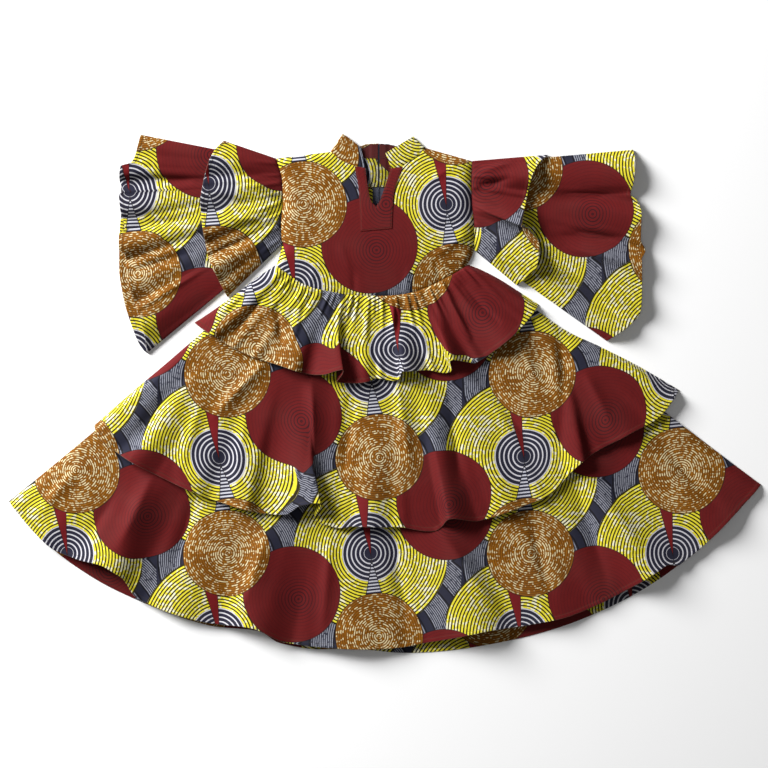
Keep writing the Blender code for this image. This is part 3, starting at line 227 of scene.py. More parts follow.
UNDERSIDE_CREASES = listed(Crease,
    (-0.56, -0.13, -0.63, -0.21, 0.014, 0.03, 0.0016), (-0.38, -0.25, -0.43, -0.35, 0.012, 0.026, 0.0018),
    (-0.18, -0.33, -0.19, -0.46, 0.018, 0.012, 0.0016), (0.06, -0.33, 0.09, -0.46, 0.012, 0.028, 0.0018),
    (0.28, -0.28, 0.35, -0.39, 0.02, 0.012, 0.0016), (0.5, -0.15, 0.59, -0.24, 0.012, 0.024, 0.0018),
    (-0.3, -0.02, -0.36, -0.14, 0.01, 0.022, 0.001), (-0.04, -0.06, -0.02, -0.2, 0.012, 0.018, 0.001),
    (0.22, -0.02, 0.28, -0.15, 0.018, 0.01, 0.001), (-0.15, 0.15, -0.19, 0.07, 0.01, 0.014, 0.0009),
    (0.11, 0.16, 0.15, 0.07, 0.014, 0.01, 0.0009), (-0.19, 0.33, -0.09, 0.29, 0.012, 0.018, 0.0009),
    (0.15, 0.35, 0.07, 0.3, 0.016, 0.01, 0.0009), (-0.48, 0.2, -0.4, 0.26, 0.012, 0.018, 0.001),
    (-0.49, 0.36, -0.39, 0.37, 0.01, 0.014, 0.001), (0.47, 0.2, 0.38, 0.26, 0.01, 0.016, 0.001),
    (0.48, 0.35, 0.38, 0.36, 0.012, 0.012, 0.001))

# A layer of the skirt, with the function for its back's level and the layer that its front lies over
Layer = namedtuple("Layer", "hem sides rest edge folds creases back_level over")

# Bodice, with the same armholes as the sleeves, its neck with the slit, and the placket round the slit
Point = namedtuple("Point", "x y")
SHOULDER_LEFT = listed(Point, (-0.217, 0.4715), (-0.108, 0.485))
SHOULDER_RIGHT = listed(Point, (0.0794, 0.493), (0.1735, 0.4664))
ARMHOLE_LEFT = listed(Point,
    (-0.217, 0.4715), (-0.205, 0.425), (-0.204, 0.385), (-0.2075, 0.34), (-0.206, 0.2994))
ARMHOLE_RIGHT = listed(Point,
    (0.1735, 0.4664), (0.172, 0.425), (0.173, 0.385), (0.1775, 0.335), (0.178, 0.289))
SIDE_LEFT = listed(Point, (-0.206, 0.2994), (-0.2085, 0.285), (-0.2165, 0.2575))
SIDE_RIGHT = listed(Point, (0.178, 0.289), (0.1725, 0.274), (0.1625, 0.2576))
NECK_LEFT = listed(Point, (-0.108, 0.485), (-0.089, 0.469), (-0.0664, 0.4585), (-0.0395, 0.4525))
NECK_RIGHT = listed(Point,
    (0.0119, 0.4515), (0.03, 0.4534), (0.048, 0.4645), (0.0694, 0.4795), (0.0794, 0.493))
SLIT_END = Point(-0.0174, 0.375)
SLIT_LEFT = listed(Point, SLIT_END, (-0.026, 0.383), (-0.0342, 0.413), (-0.0395, 0.4525))
SLIT_RIGHT = listed(Point, SLIT_END, (-0.009, 0.3902), (-0.0006, 0.413), (0.0119, 0.4515))
CHEST_LEVEL = 0.365
WAIST_ENDS = (-49.8, 45.6)
BODICE_REST = listed(Rest,
    (0, 0.009), (0.03, 0.0125), (0.08, 0.0155), (0.14, 0.015), (0.2, 0.012), (0.255, 0.008),
    (0.32, 0.0064))
BODICE_ROLL = 0.012
ARMHOLE_ROLL = 0.030
CENTRE_BACK = -0.0126
BACK_NECK_LEFT = listed(Point, (-0.108, 0.485), (-0.08, 0.478), (-0.045, 0.4728), (CENTRE_BACK, 0.4712))
BACK_NECK_RIGHT = listed(Point, (CENTRE_BACK, 0.4712), (0.018, 0.4728), (0.052, 0.4795), (0.0794, 0.493))
PLACKET_LEFT = listed(Point, (-0.0495, 0.3256), (-0.0502, 0.361), (-0.052, 0.4056), (-0.0608, 0.4562))
PLACKET_RIGHT = listed(Point, (0.0136, 0.3312), (0.015, 0.365), (0.018, 0.4), (0.035, 0.455))
PLACKET_SPLIT = 0.365

# Zip: its tape with a ridge on both sides of the coil, and the coil with one loop for each tooth, which
# leaves the tape bare at both ends
ZIP_WIDTH = 0.024
ZIP_BOTTOM = 0.2005
ZIP_TOP = 0.5005
ZIP_LEVEL = 0.0020
BARE_TAPE = 0.002
TAPE_DROP = 0.0002
RIDGE_PLACE = 0.0032
RIDGE_WIDTH = 0.001
RIDGE_HEIGHT = 0.0004
TOOTH_PITCH = 0.0014
TOOTH_WIDTH = 0.0044
TOOTH_RADIUS = 0.0005
TOOTH_BOW = 0.00022
LOOP_SHARE = 0.86
COIL_LIFT = 0.0006
COIL_FLATNESS = 0.8

# Facings inside the back neck and the back of the collar, which cover the zip tape beside its coil
FACING_BOTTOM = 0.415
FACING_MARGIN = 0.0012
FACING_STITCH = 0.003
Strip = namedtuple("Strip", "from_centre height")
FACING = listed(Strip,
    (0.0018, 0.0037), (0.0135, 0.0037), (0.02, ON_FLOOR + PITCH), (0.048, ON_FLOOR + PITCH))

# Stand collar, which dips at its seam and swells a little between its seam and its top
COLLAR_SEAM = 0.0006
COLLAR_HEIGHT = 0.042
COLLAR_ROWS = 26
COLLAR_DIP = 0.0008
COLLAR_SWELL = 0.0006
COLLAR_TOP_LEFT = listed(Point, (-0.084, 0.521), (-0.066, 0.508), (-0.048, 0.493))
COLLAR_BACK_TOP_LEFT = listed(Point,
    (-0.084, 0.521), (-0.064, 0.503), (-0.05, 0.4965), (-0.037, 0.5008), (CENTRE_BACK, 0.502))
COLLAR_TOP_RIGHT = listed(Point, (0.056, 0.5158), (0.03, 0.5), (0.0008, 0.4822))
COLLAR_BACK_TOP_RIGHT = listed(Point,
    (0.056, 0.5158), (0.038, 0.5015), (0.0248, 0.4965), (0.012, 0.5), (CENTRE_BACK, 0.502))

# Sleeves: a flattened tube from the armhole to each hem, with folds that spread round a point near the
# neck. The flounce length turns the reach beside the armhole into metres.
SLEEVE_SEAM = 0.0009
SLEEVE_ROLL = 0.020
SLEEVE_GROWTH = 0.9
PLEAT_SHARPNESS = 0.6
FLOUNCE_LENGTH = 0.12
CREASE_GROWTH = 5
Pleat = namedtuple("Pleat", "angle up down height lean", defaults=[0])
Tuck = namedtuple("Tuck", "angle half_width height reach")
Sleeve = namedtuple(
    "Sleeve", "side armhole hem back_hem apex pleats tucks creases start rest least edge back inset")
APEX_LEFT = Point(-0.030, 0.441)
APEX_RIGHT = Point(-0.062, 0.453)
UPPER_REST = listed(Rest, (0, ARMHOLE_LEVEL), (0.15, 0.008), (0.5, 0.012), (1, 0.016))
UPPER_LEAST = listed(Rest, (0, 0.0056), (0.5, 0.0068), (1, 0.0098))
UPPER_EDGE = listed(Rest, (0, ARMHOLE_LEVEL), (1, ARMHOLE_LEVEL))
UPPER_BACK = listed(Rest, (0, ON_FLOOR), (1, ON_FLOOR))
LOWER_REST = listed(Rest, (0, 0.0034), (0.25, 0.0048), (0.5, 0.006), (1, 0.011))
LOWER_LEAST = listed(Rest, (0, 0.0038), (1, 0.0038))
LOWER_EDGE = listed(Rest, (0, 0.0034), (0.5, 0.005), (1, 0.0054))
LOWER_BACK_LEFT = listed(Rest, (0, 0.0022), (0.6, 0.0022), (0.7, ON_FLOOR), (1, ON_FLOOR))
LOWER_BACK_RIGHT = listed(Rest, (0, 0.0022), (0.66, 0.0022), (0.76, ON_FLOOR), (1, ON_FLOOR))

# What both upper flounces share, and both lower ones, and then each of the four
UPPER = dict(start=0, rest=UPPER_REST, edge=UPPER_EDGE, back=UPPER_BACK, least=UPPER_LEAST,
             creases=UPPER_SLEEVE_CREASES, inset=0, back_hem=None)
LOWER = dict(rest=LOWER_REST, edge=LOWER_EDGE, least=LOWER_LEAST, creases=LOWER_SLEEVE_CREASES,
             inset=0.035, tucks=[])
UPPER_LEFT = Sleeve(
    side=-1, armhole=ARMHOLE_LEFT, apex=APEX_LEFT, **UPPER,
    hem=listed(Point,
        (-0.322, 0.507), (-0.34, 0.487), (-0.362, 0.427), (-0.368, 0.377), (-0.3588, 0.305),
        (-0.3534, 0.2772), (-0.335, 0.2344), (-0.3152, 0.1954)),
    pleats=listed(Pleat,
        (-4, 6, 5, 0.012), (8, 6, 6, 0.01), (20, 6, 3, 0.012), (31, 4, 5, 0.014), (3, 2, 1.6, 0.003),
        (14.5, 1.5, 2.2, 0.0034), (26, 2, 1.4, 0.003)),
    tucks=listed(Tuck,
        (-6, 1.8, 0.002, 0.5), (1, 1.5, 0.0018, 0.35), (6, 2.2, 0.0024, 0.6), (12, 1.6, 0.0018, 0.4),
        (18, 1.9, 0.0024, 0.55), (24, 1.5, 0.002, 0.35), (30, 2.1, 0.0022, 0.5), (36, 1.7, 0.002, 0.45)))
LOWER_LEFT = Sleeve(
    side=-1, armhole=ARMHOLE_LEFT, apex=APEX_LEFT, start=0.38, back=LOWER_BACK_LEFT, **LOWER,
    hem=listed(Point,
        (-0.488, 0.519), (-0.506, 0.463), (-0.527, 0.455), (-0.53, 0.429), (-0.523, 0.405), (-0.531, 0.4),
        (-0.528, 0.369), (-0.519, 0.33), (-0.531, 0.32), (-0.53, 0.289), (-0.5194, 0.281),
        (-0.5134, 0.2274), (-0.4964, 0.1722), (-0.478, 0.108), (-0.476, 0.083)),
    back_hem=listed(Point,
        (-0.488, 0.519), (-0.506, 0.463), (-0.528, 0.43), (-0.528, 0.369), (-0.531, 0.32),
        (-0.532, 0.255), (-0.524, 0.197), (-0.506, 0.1356), (-0.484, 0.0896), (-0.476, 0.083)),
    pleats=listed(Pleat,
        (-6, 4, 4, 0.006), (0, 5, 1.6, 0.014), (8, 5, 2.5, 0.01), (16.5, 3.5, 3, 0.014),
        (25, 5, 4.5, 0.012), (33.5, 4, 4, 0.01), (4, 1.4, 1.2, 0.003), (12, 1.2, 1.6, 0.0026),
        (21, 1.4, 1.4, 0.003), (29.7, 1, 1.4, 0.0036)))
UPPER_RIGHT = Sleeve(
    side=1, armhole=ARMHOLE_RIGHT, apex=APEX_RIGHT, **UPPER,
    hem=listed(Point,
        (0.326, 0.479), (0.31, 0.465), (0.294, 0.437), (0.284, 0.397), (0.276, 0.345), (0.29, 0.325),
        (0.308, 0.299), (0.3032, 0.257), (0.264, 0.218)),
    pleats=listed(Pleat,
        (3, 5, 5, 0.018), (17, 6, 2.5, 0.026, 0.014), (27, 4, 5, 0.016), (9, 1.6, 1.4, 0.0036),
        (23, 1.4, 1.8, 0.0034)),
    tucks=listed(Tuck,
        (-1, 1.6, 0.0022, 0.5), (4, 1.4, 0.0026, 0.4), (9, 1.8, 0.003, 0.6), (14, 1.4, 0.0028, 0.5),
        (19.5, 1.6, 0.0034, 0.7), (24.5, 1.3, 0.0026, 0.45), (29.5, 1.7, 0.0026, 0.5),
        (34, 1.4, 0.002, 0.4)))
LOWER_RIGHT = Sleeve(
    side=1, armhole=ARMHOLE_RIGHT, apex=APEX_RIGHT, start=0.42, back=LOWER_BACK_RIGHT, **LOWER,
    back_hem=None,
    hem=listed(Point,
        (0.496, 0.489), (0.4992, 0.4678), (0.496, 0.425), (0.49, 0.399), (0.502, 0.389), (0.5114, 0.363),
        (0.51, 0.309), (0.52, 0.287), (0.512, 0.269), (0.513, 0.223), (0.51, 0.167), (0.487, 0.137),
        (0.444, 0.107)),
    pleats=listed(Pleat,
        (1.5, 5, 5, 0.014), (10, 3, 5.5, 0.016), (18.5, 2.6, 4, 0.014), (25.5, 4, 3, 0.012),
        (31, 2.6, 3.5, 0.01), (6, 1.2, 1.4, 0.0028), (14.5, 1.6, 1.2, 0.0034), (22, 1.2, 1.5, 0.0028),
        (28.4, 1.2, 1, 0.0034)))

# Print: discs on a half-drop repeat, in metres. Each motif has its centre in the repeat and its radius.
COLUMN = 0.302
ROW = 0.33
DROP = 0.165
Disc = namedtuple("Disc", "x y radius")
YELLOW_DISC = Disc(0, 0, 0.156)
MAROON_DISC = Disc(0.149, 0.083, 0.096)
OCHRE_DISC = Disc(0.018, 0.165, 0.086)
GROUND_ARCS = Disc(0.030, 0.150, 0)
HUB_RADIUS = 0.056
HUB_CENTRE = 0.012
OUTLINE = 0.0011
DYE_DEPTH = 0.70
SPIRAL_CENTRE = (0.014, -0.010)

# Wedges of the yellow disc: the way they point in degrees, how fast they spread and where they start
UPPER_WEDGE = (98, 0.125, -0.004)
LOWER_WEDGE = (-84, 0.225, 0.014)

# Width of one line with its gap, in the print, the stitches and the weave
ARC_PITCH = 0.0040
BAND_PITCH = 0.064
RING_PITCH = 0.0062
HUB_PITCH = 0.0086
BAR_PITCH = 0.0066
SPIRAL_PITCH = 0.0064
DASH_PITCH = 0.0044
STITCH_PITCH = 0.0034
WEAVE_PITCH = 0.00085

# Lights with their place, size and power, then the floor and the camera
KEY_LIGHT = ("key", (-4.0, 2.7, 2.25), 2.5, 760)
TOP_LIGHT = ("top", (0.6, -0.4, 5.0), 3.0, 26)
SKY_STRENGTH = 0.10
FLOOR_REACH = 8.0
FLOOR_LEVEL = -0.0002
EYE = (-0.002, 0.021, 6.0)
PICTURE_WIDTH = 1.536
SENSOR_WIDTH = 36


def smooth(table, places, column=1):
    """Value of a table's column at places in its first column, on a curve that never overshoots its rows."""
    x = np.array([row[0] for row in table])
    y = np.array([row[column] for row in table])
    step = np.diff(x)
    slope = np.diff(y) / step
    tangent = np.zeros(len(x))
    tangent[0], tangent[-1] = slope[0], slope[-1]
    same_way = slope[:-1] * slope[1:] > 0
    before = np.where(same_way, slope[:-1], 1)
    after = np.where(same_way, slope[1:], 1)
    weight = 2 * step[1:] + step[:-1], step[1:] + 2 * step[:-1]
    tangent[1:-1] = np.where(same_way, sum(weight) / (weight[0] / before + weight[1] / after), 0)
    places = np.clip(places, x[0], x[-1])
    k = np.clip(np.searchsorted(x, places, side="right") - 1, 0, len(step) - 1)
    t = (places - x[k]) / step[k]
    value = (1 + 2 * t) * (1 - t) ** 2 * y[k] + t * t * (3 - 2 * t) * y[k + 1]
    return value + step[k] * (t * (1 - t) ** 2 * tangent[k] - t * t * (1 - t) * tangent[k + 1])


def straight(table, places):
    """Value of a table of two columns at places in its first one, on straight lines between its rows."""
    return np.interp(places, *zip(*table))


def run_along(points):
    """How far each of a row of points lies along the line through them."""
    return np.concatenate([[0], np.cumsum(np.linalg.norm(np.diff(points, axis=0), axis=1))])


def along(points, places):
    """Points at places from 0 to 1 along a smooth curve through a table of points."""
    xy = np.array(points)
    travelled = run_along(xy)
    travelled /= travelled[-1]
    columns = [smooth(list(zip(travelled, xy[:, k])), places) for k in range(2)]
    return np.stack(columns, axis=-1)


def sampled(points, count, first=0, last=1):
    """Points spread evenly along a smooth curve, from one place on it to another."""
    return along(points, np.linspace(first, last, count))


def polar(angle, radius):
    """Place in plan of a point of the skirt."""
    turn = np.radians(angle)
    return np.stack([SKIRT_APEX[0] + radius * np.sin(turn), SKIRT_APEX[1] - radius * np.cos(turn)], axis=-1)


def ease(share):
    """Rises from 0 to 1, steep at first, as cloth rolls up from an edge."""
    return 1 - (1 - np.clip(share, 0, 1)) ** 2


def bump(offset, before, after):
    """Height of a fold of height 1 at an offset from its crest, with its own half-width on each side."""
    width = np.where(offset < 0, before, after)
    return np.cos(np.pi / 2 * np.clip(offset / width, -1, 1)) ** 2


def even_places(points, count, bend_weight=0.02):
    """Places from 0 to 1 on a finely sampled curve that share out its length and its bends evenly."""
    steps = np.diff(points, axis=0)
    lengths = np.linalg.norm(steps, axis=1)
    directions = steps / lengths[:, None]
    turns = np.arccos(np.clip((directions[1:] * directions[:-1]).sum(axis=1), -1, 1))
    cost = lengths + bend_weight * np.concatenate([[0], turns])
    travelled = np.concatenate([[0], np.cumsum(cost)])
    return np.interp(np.linspace(0, travelled[-1], count), travelled, np.linspace(0, 1, len(points)))


def plan_grid(bottom, top, left, right):
    """Coons patch in plan between four edges that share their corners."""
    s = np.linspace(0, 1, len(bottom))[None, :, None]
    t = np.linspace(0, 1, len(left))[:, None, None]
    across = (1 - t) * bottom[None] + t * top[None]
    up = (1 - s) * left[:, None] + s * right[:, None]
    corners = (1 - t) * ((1 - s) * bottom[0] + s * bottom[-1]) + t * ((1 - s) * top[0] + s * top[-1])
    return across + up - corners


def distance_to(paths, xy):
    """Distance in plan from points to the nearest of some smooth curves."""
    nearest = np.full(xy.shape[:-1], np.inf)
    for path in paths:
        for corner in sampled(path, 240):
            nearest = np.minimum(nearest, np.linalg.norm(xy - corner, axis=-1))
    return nearest


def with_height(xy, height):
    """Points in space from points in plan and their heights."""
    return np.concatenate([xy, np.broadcast_to(height, xy.shape[:-1])[..., None]], axis=-1)


def crease_lift(creases, xy):
    """Height that the creases add at places in plan."""
    lift = np.zeros(xy.shape[:-1])
    for crease in creases:
        start = np.array([crease.x, crease.y])
        run = np.array([crease.to_x, crease.to_y]) - start
        share = np.clip(((xy - start) @ run) / (run @ run), 0, 1)
        away = xy - start - share[..., None] * run
        on_left = run[0] * away[..., 1] - run[1] * away[..., 0] > 0
        width = np.where(on_left, crease.left, crease.right)
        fade = np.sin(np.pi * (CREASE_END + (1 - 2 * CREASE_END) * share))
        distance = np.hypot(np.linalg.norm(away, axis=-1), CREST_ROUND) - CREST_ROUND
        lift += crease.height * fade * (1 - np.clip(distance / width, 0, 1)) ** 2
    return lift


def across_cut(plan, solid):
    """Flat-cut places of a grid: its plan, with the print spread evenly over the cloth along each row."""
    cut = np.empty_like(plan)
    for k in range(len(plan)):
        flat = run_along(plan[k])
        cloth = run_along(solid[k])
        target = cloth * flat[-1] / cloth[-1]
        cut[k] = np.stack([np.interp(target, flat, plan[k, :, axis]) for axis in range(2)], axis=-1)
    return cut


Grid = namedtuple("Grid", "points half cut sew")


def turned(grid, rows=1, columns=1):
    """The same grid, with its rows or its columns in the other order where that is -1."""
    return Grid(*[part[::rows, ::columns] for part in grid])


def placed(name, mesh, material):
    """A mesh as an object of the scene, with its material."""
    mesh.materials.append(material)
    thing = bpy.data.objects.new(name, mesh)
    bpy.context.collection.objects.link(thing)
    return thing


def shell(name, grids, material):
    """Thin closed shell of cloth round the grids of its middle, welded where the grids meet."""
    values, corners = [], []
    count = 0
    for grid in grids:
        rows, columns = grid.points.shape[:2]
        index = count + np.arange(rows * columns).reshape(rows, columns)
        around_face = index[:-1, :-1], index[:-1, 1:], index[1:, 1:], index[1:, :-1]
        corners.append(np.stack(around_face, axis=-1).reshape(-1, 4))
        half = np.broadcast_to(grid.half, (rows, columns))[..., None]
        values.append(np.concatenate([grid.points, half, grid.cut, grid.sew], axis=-1).reshape(-1, 8))
        count += rows * columns
    values, corners = np.concatenate(values), np.concatenate(corners)
    points, half, cut, sew = np.split(values, (3, 4, 6), axis=1)
    _, first, welded = np.unique(np.round(points, 6), axis=0, return_index=True, return_inverse=True)
    middle = points[first]
    faces = welded.reshape(-1)[corners]
    diagonals = middle[faces[:, 2]] - middle[faces[:, 0]], middle[faces[:, 3]] - middle[faces[:, 1]]
    normals = np.zeros_like(middle)
    for corner in range(4):
        np.add.at(normals, faces[:, corner], np.cross(*diagonals))
    normals /= np.linalg.norm(normals, axis=1)[:, None]
    normals *= half[first]
    total = len(middle)
    starts, ends = faces.reshape(-1), np.roll(faces, -1, axis=1).reshape(-1)
    corner_now, corner_next = corners.reshape(-1), np.roll(corners, -1, axis=1).reshape(-1)
    key = np.minimum(starts, ends) * total + np.maximum(starts, ends)
    _, inverse, uses = np.unique(key, return_inverse=True, return_counts=True)
    rim = uses[inverse.reshape(-1)] == 1
    rim_faces = np.stack([ends[rim], starts[rim], starts[rim] + total, ends[rim] + total], axis=-1)
    rim_corners = np.stack([corner_next[rim], corner_now[rim], corner_now[rim], corner_next[rim]], axis=-1)
    all_faces = np.concatenate([faces, faces[:, ::-1] + total, rim_faces])
    all_corners = np.concatenate([corners, corners[:, ::-1], rim_corners]).reshape(-1)
    mesh = bpy.data.meshes.new(name)
    mesh.from_pydata(np.concatenate([middle + normals, middle - normals]).tolist(), [], all_faces.tolist())
    for layer_name, places in (("cut", cut), ("sew", sew)):
        layer = mesh.uv_layers.new(name=layer_name)
        layer.data.foreach_set("uv", places[all_corners].astype(np.float32).reshape(-1))
    mesh.shade_smooth()
    mesh.set_sharp_from_angle(angle=math.radians(SHARP_ANGLE))
    return placed(name, mesh, material)


def sewn(name, node, grids, material):
    """A cloth piece on the body in place of its node."""
    piece = shell(name, grids, material)
    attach(piece, "root")
    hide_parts(node)


def ramp_down(radius, hem, start, end, drop):
    """How far a back layer has come down at a radius past a hem."""
    return drop * np.clip((radius - hem - start) / (end - start), 0, 1)


def peplum_back_level(angle, radius):
    """Height of the peplum's back, which lies on the surface."""
    return np.full(np.broadcast(angle, radius).shape, ON_FLOOR)


def tier_back_level(angle, radius):
    """Height of the middle tier's back, over the peplum's back and then on the surface."""
    hem = smooth(PEPLUM_BACK_HEM, angle)
    return ON_FLOOR + PITCH - ramp_down(radius, hem, RAMP_START, SHORT_RAMP, PITCH)


def skirt_back_level(angle, radius):
    """Height of the full layer's back, which comes down in two ramps."""
    drops = [ramp_down(radius, smooth(hem, angle), RAMP_START, LONG_RAMP, PITCH)
             for hem in (PEPLUM_BACK_HEM, TIER_BACK_HEM)]
    return ON_FLOOR + 2 * PITCH - drops[0] - drops[1]


SKIRT = Layer(
    SKIRT_HEM, SKIRT_SIDES, SKIRT_REST, SKIRT_EDGE, SKIRT_FOLDS, SKIRT_CREASES, skirt_back_level, None)
TIER = Layer(
    TIER_HEM, TIER_SIDES, TIER_REST, TIER_EDGE, TIER_FOLDS, TIER_CREASES, tier_back_level, SKIRT)
PEPLUM = Layer(
    PEPLUM_HEM, PEPLUM_SIDES, PEPLUM_REST, PEPLUM_EDGE, PEPLUM_FOLDS, PEPLUM_CREASES, peplum_back_level, TIER)


def layer_grid(layer, hem, share, reach):
    """Angles and radii of a layer; share runs 0 to 1 from left to right, reach 0 to 1 from waist to hem."""
    hem_angle = hem[0].angle + share * (hem[-1].angle - hem[0].angle)
    hem_radius = smooth(hem, hem_angle)

    def pulled(radius):
        """Angle at a radius, with the columns near each side pulled to the side fold."""
        left = smooth(layer.sides, radius, 1) - smooth(layer.sides, hem_radius, 1)
        right = smooth(layer.sides, radius, 2) - smooth(layer.sides, hem_radius, 2)
        return hem_angle + left * (1 - share) ** SIDE_PULL + right * share ** SIDE_PULL

    waist_radius = smooth(WAIST, pulled(WAIST_RADIUS)) + SEAM / 2
    radius = waist_radius + reach * (hem_radius - waist_radius)
    return pulled(radius), radius


def pucker(reach):
    """Height of a gather or tuck of height 1 along its length, highest soon after the seam."""
    return np.sin(np.pi * np.clip(reach, 0, 1) ** PUCKER_RISE)


def gathers(kind, angle, distance):
    """Gathers below the waist seam, uneven in place, width, height and length."""
    lift = np.zeros(angle.shape)
    for k in range(kind.count):
        uneven = math.sin(2.4 * k)
        crest = kind.first + kind.step * k + kind.drift * uneven
        width = kind.half_width * (1 + 0.25 * math.cos(1.7 * k))
        reach = kind.reach * (0.8 + 0.3 * math.sin(4.1 * k))
        height = kind.height * (1 + 0.3 * uneven)
        lift += height * pucker(distance / reach) * bump(angle - crest, width, width)
    return lift


def ditch(distance):
    """How far the cloth dips beside a seam, at a distance from it."""
    return DITCH_DEPTH * (1 - ease(distance / DITCH_WIDTH))


def layer_shape(layer, angle, radius):
    """Height of a front layer, and how far its folds lean to the right, in metres."""
    hem = smooth(layer.hem, angle)
    waist = smooth(WAIST, angle)
    lift = np.zeros(angle.shape)
    lean = np.zeros(angle.shape)
    for fold in layer.folds:
        grown = np.clip((radius - fold.start) / (hem - fold.start), 0, 1)
        crest = fold.top_angle + (fold.hem_angle - fold.top_angle) * grown
        shape = grown ** FOLD_GROWTH * bump(angle - crest, fold.left, fold.right)
        lift += fold.height * shape
        lean += fold.lean * shape
    if layer is PEPLUM:
        lift += gathers(GATHERS, angle, radius - waist) + gathers(FINE_GATHERS, angle, radius - waist)
        lift -= ditch(radius - waist)
    left = smooth(layer.sides, radius, 1)
    right = smooth(layer.sides, radius, 2)
    side = np.radians(np.minimum(angle - left, right - angle)) * radius
    rolled = ease(side / smooth(SIDE_ROLL, radius))
    below = layer_shape(layer.over, angle, radius)[0] if layer.over else layer.back_level(angle, radius)
    least = below + PITCH
    inside = np.maximum(smooth(layer.rest, radius), least) + lift
    creased = inside + crease_lift(layer.creases, polar(angle, radius))
    inside = np.maximum(creased, np.minimum(inside, least))
    edge = straight(layer.edge, (radius - waist) / (hem - waist)) - EDGE_DROP
    return edge + (inside - edge) * rolled, lean * rolled


def front_points(layer, share, reach):
    """Middle of a front layer's cloth, with its undeformed plan."""
    angle, radius = layer_grid(layer, layer.hem, share[None, :], reach[:, None])
    height, lean = layer_shape(layer, angle, radius)
    return with_height(polar(angle + np.degrees(lean / radius), radius), height), polar(angle, radius)


def hem_rows(rows, length):
    """Shares from waist to hem, even but for the rows that form the ditch at the seam and the turned hem."""
    hem = 1 - np.array(HEM_ROWS) / length
    near_waist = np.array(SEAM_ROWS) / length
    return np.concatenate([near_waist, np.linspace(near_waist[-1], hem[0], rows)[1:-1], hem])


def hem_sewing(points, reach, length):
    """Distance from the hem and place along it, for the line of stitches."""
    run = run_along(points[-1])
    to_hem = (1 - reach)[:, None] * length * np.ones_like(run)[None, :]
    return np.stack([to_hem, np.broadcast_to(run, to_hem.shape)], axis=-1)


def sector(sweep, inner, outer):
    """Flat size and area of a piece cut as part of a ring, in metres."""
    half = math.radians(sweep / 2)
    return (2 * outer * math.sin(half), outer - inner * math.cos(half)), half * (outer ** 2 - inner ** 2)


def flounce(name, layer, hem, columns, rows, offset, sweep, rests_on, material):
    """Front of a skirt layer, or its back, which lies flat under the rest."""
    hem_radius = np.mean([row.radius for row in hem])
    length = hem_radius - WAIST_RADIUS
    reach = hem_rows(rows, length)
    if hem is layer.hem:
        fine = front_points(layer, np.linspace(0, 1, 3001), np.array([1.0]))[0][0]
        points, plan = front_points(layer, even_places(fine, columns), reach)
        cut = across_cut(plan, points)
    else:
        angle, radius = layer_grid(layer, hem, np.linspace(0, 1, columns)[None, :], reach[:, None])
        cut = polar(angle, radius)
        points = with_height(cut, layer.back_level(angle, radius) + crease_lift(UNDERSIDE_CREASES, cut))
    half = straight(HEM_PROFILE, (1 - reach) * length)[:, None]
    grid = Grid(points, half, cut + np.array(offset), hem_sewing(points, reach, length))
    flat, area = sector(sweep, WAIST_RADIUS, hem_radius)
    sewn(f"{name}_panel", name, [turned(grid, rows=-1)], material)


def waist_edge(first, last, count):
    """Lower edge of the bodice between two angles, just above the waist seam."""
    angle = np.linspace(first, last, count)
    return polar(angle, smooth(WAIST, angle) - SEAM / 2)


def bodice_height(xy):
    """Height of the bodice front over its plan."""
    waist = waist_edge(*WAIST_ENDS, 60)
    above_waist = xy[..., 1] - np.interp(xy[..., 0], waist[:, 0], waist[:, 1])
    inside = smooth(BODICE_REST, above_waist) + crease_lift(BODICE_CREASES, xy) - ditch(above_waist)
    to_armhole = distance_to([ARMHOLE_LEFT, ARMHOLE_RIGHT], xy)
    height = ARMHOLE_LEVEL + (inside - ARMHOLE_LEVEL) * ease(to_armhole / ARMHOLE_ROLL)
    height -= ditch(to_armhole)
    height -= ditch(distance_to([NECK_LEFT, NECK_RIGHT], xy))
    seams = ease(distance_to([SHOULDER_LEFT, SHOULDER_RIGHT, SIDE_LEFT, SIDE_RIGHT], xy) / BODICE_ROLL)
    return SEAM_LEVEL + (height - SEAM_LEVEL) * seams


def share_at_level(path, level):
    """Share of a curve at a level in Y."""
    shares = np.linspace(0, 1, 800)
    return shares[np.argmin(np.abs(along(path, shares)[:, 1] - level))]


def side_edges(armhole, side, rows):
    """Upper and lower stretch of a bodice edge, each from the bottom up."""
    corner = share_at_level(armhole, CHEST_LEVEL)
    underarm = sampled(armhole, rows // 2 + 1, 1, corner)
    seam = sampled(side, rows - rows // 2, 1, 0)
    return sampled(armhole, rows, corner, 0), np.concatenate([seam[:-1], underarm])


def plain_grid(xy, height, offset, half=HALF_CLOTH, sew=None):
    """Grid of a piece that lies in its own plan, without a hem unless sew gives one."""
    sew = np.full(xy.shape, 1.0) if sew is None else sew
    return Grid(with_height(xy, height), np.full(xy.shape[:2], half), xy + np.array(offset), sew)


def slit_plans(bottom, lower, upper, tops, slits, columns):
    """Grids in plan of a piece in one below the slit and in two beside it, from its edges left and right."""
    left = sampled([upper[0][0], SLIT_END], columns)
    right = sampled([SLIT_END, upper[1][0]], columns)
    return (plan_grid(bottom, np.concatenate([left, right[1:]]), *lower),
            plan_grid(left, tops[0], upper[0], slits[0]), plan_grid(right, tops[1], slits[1], upper[1]))


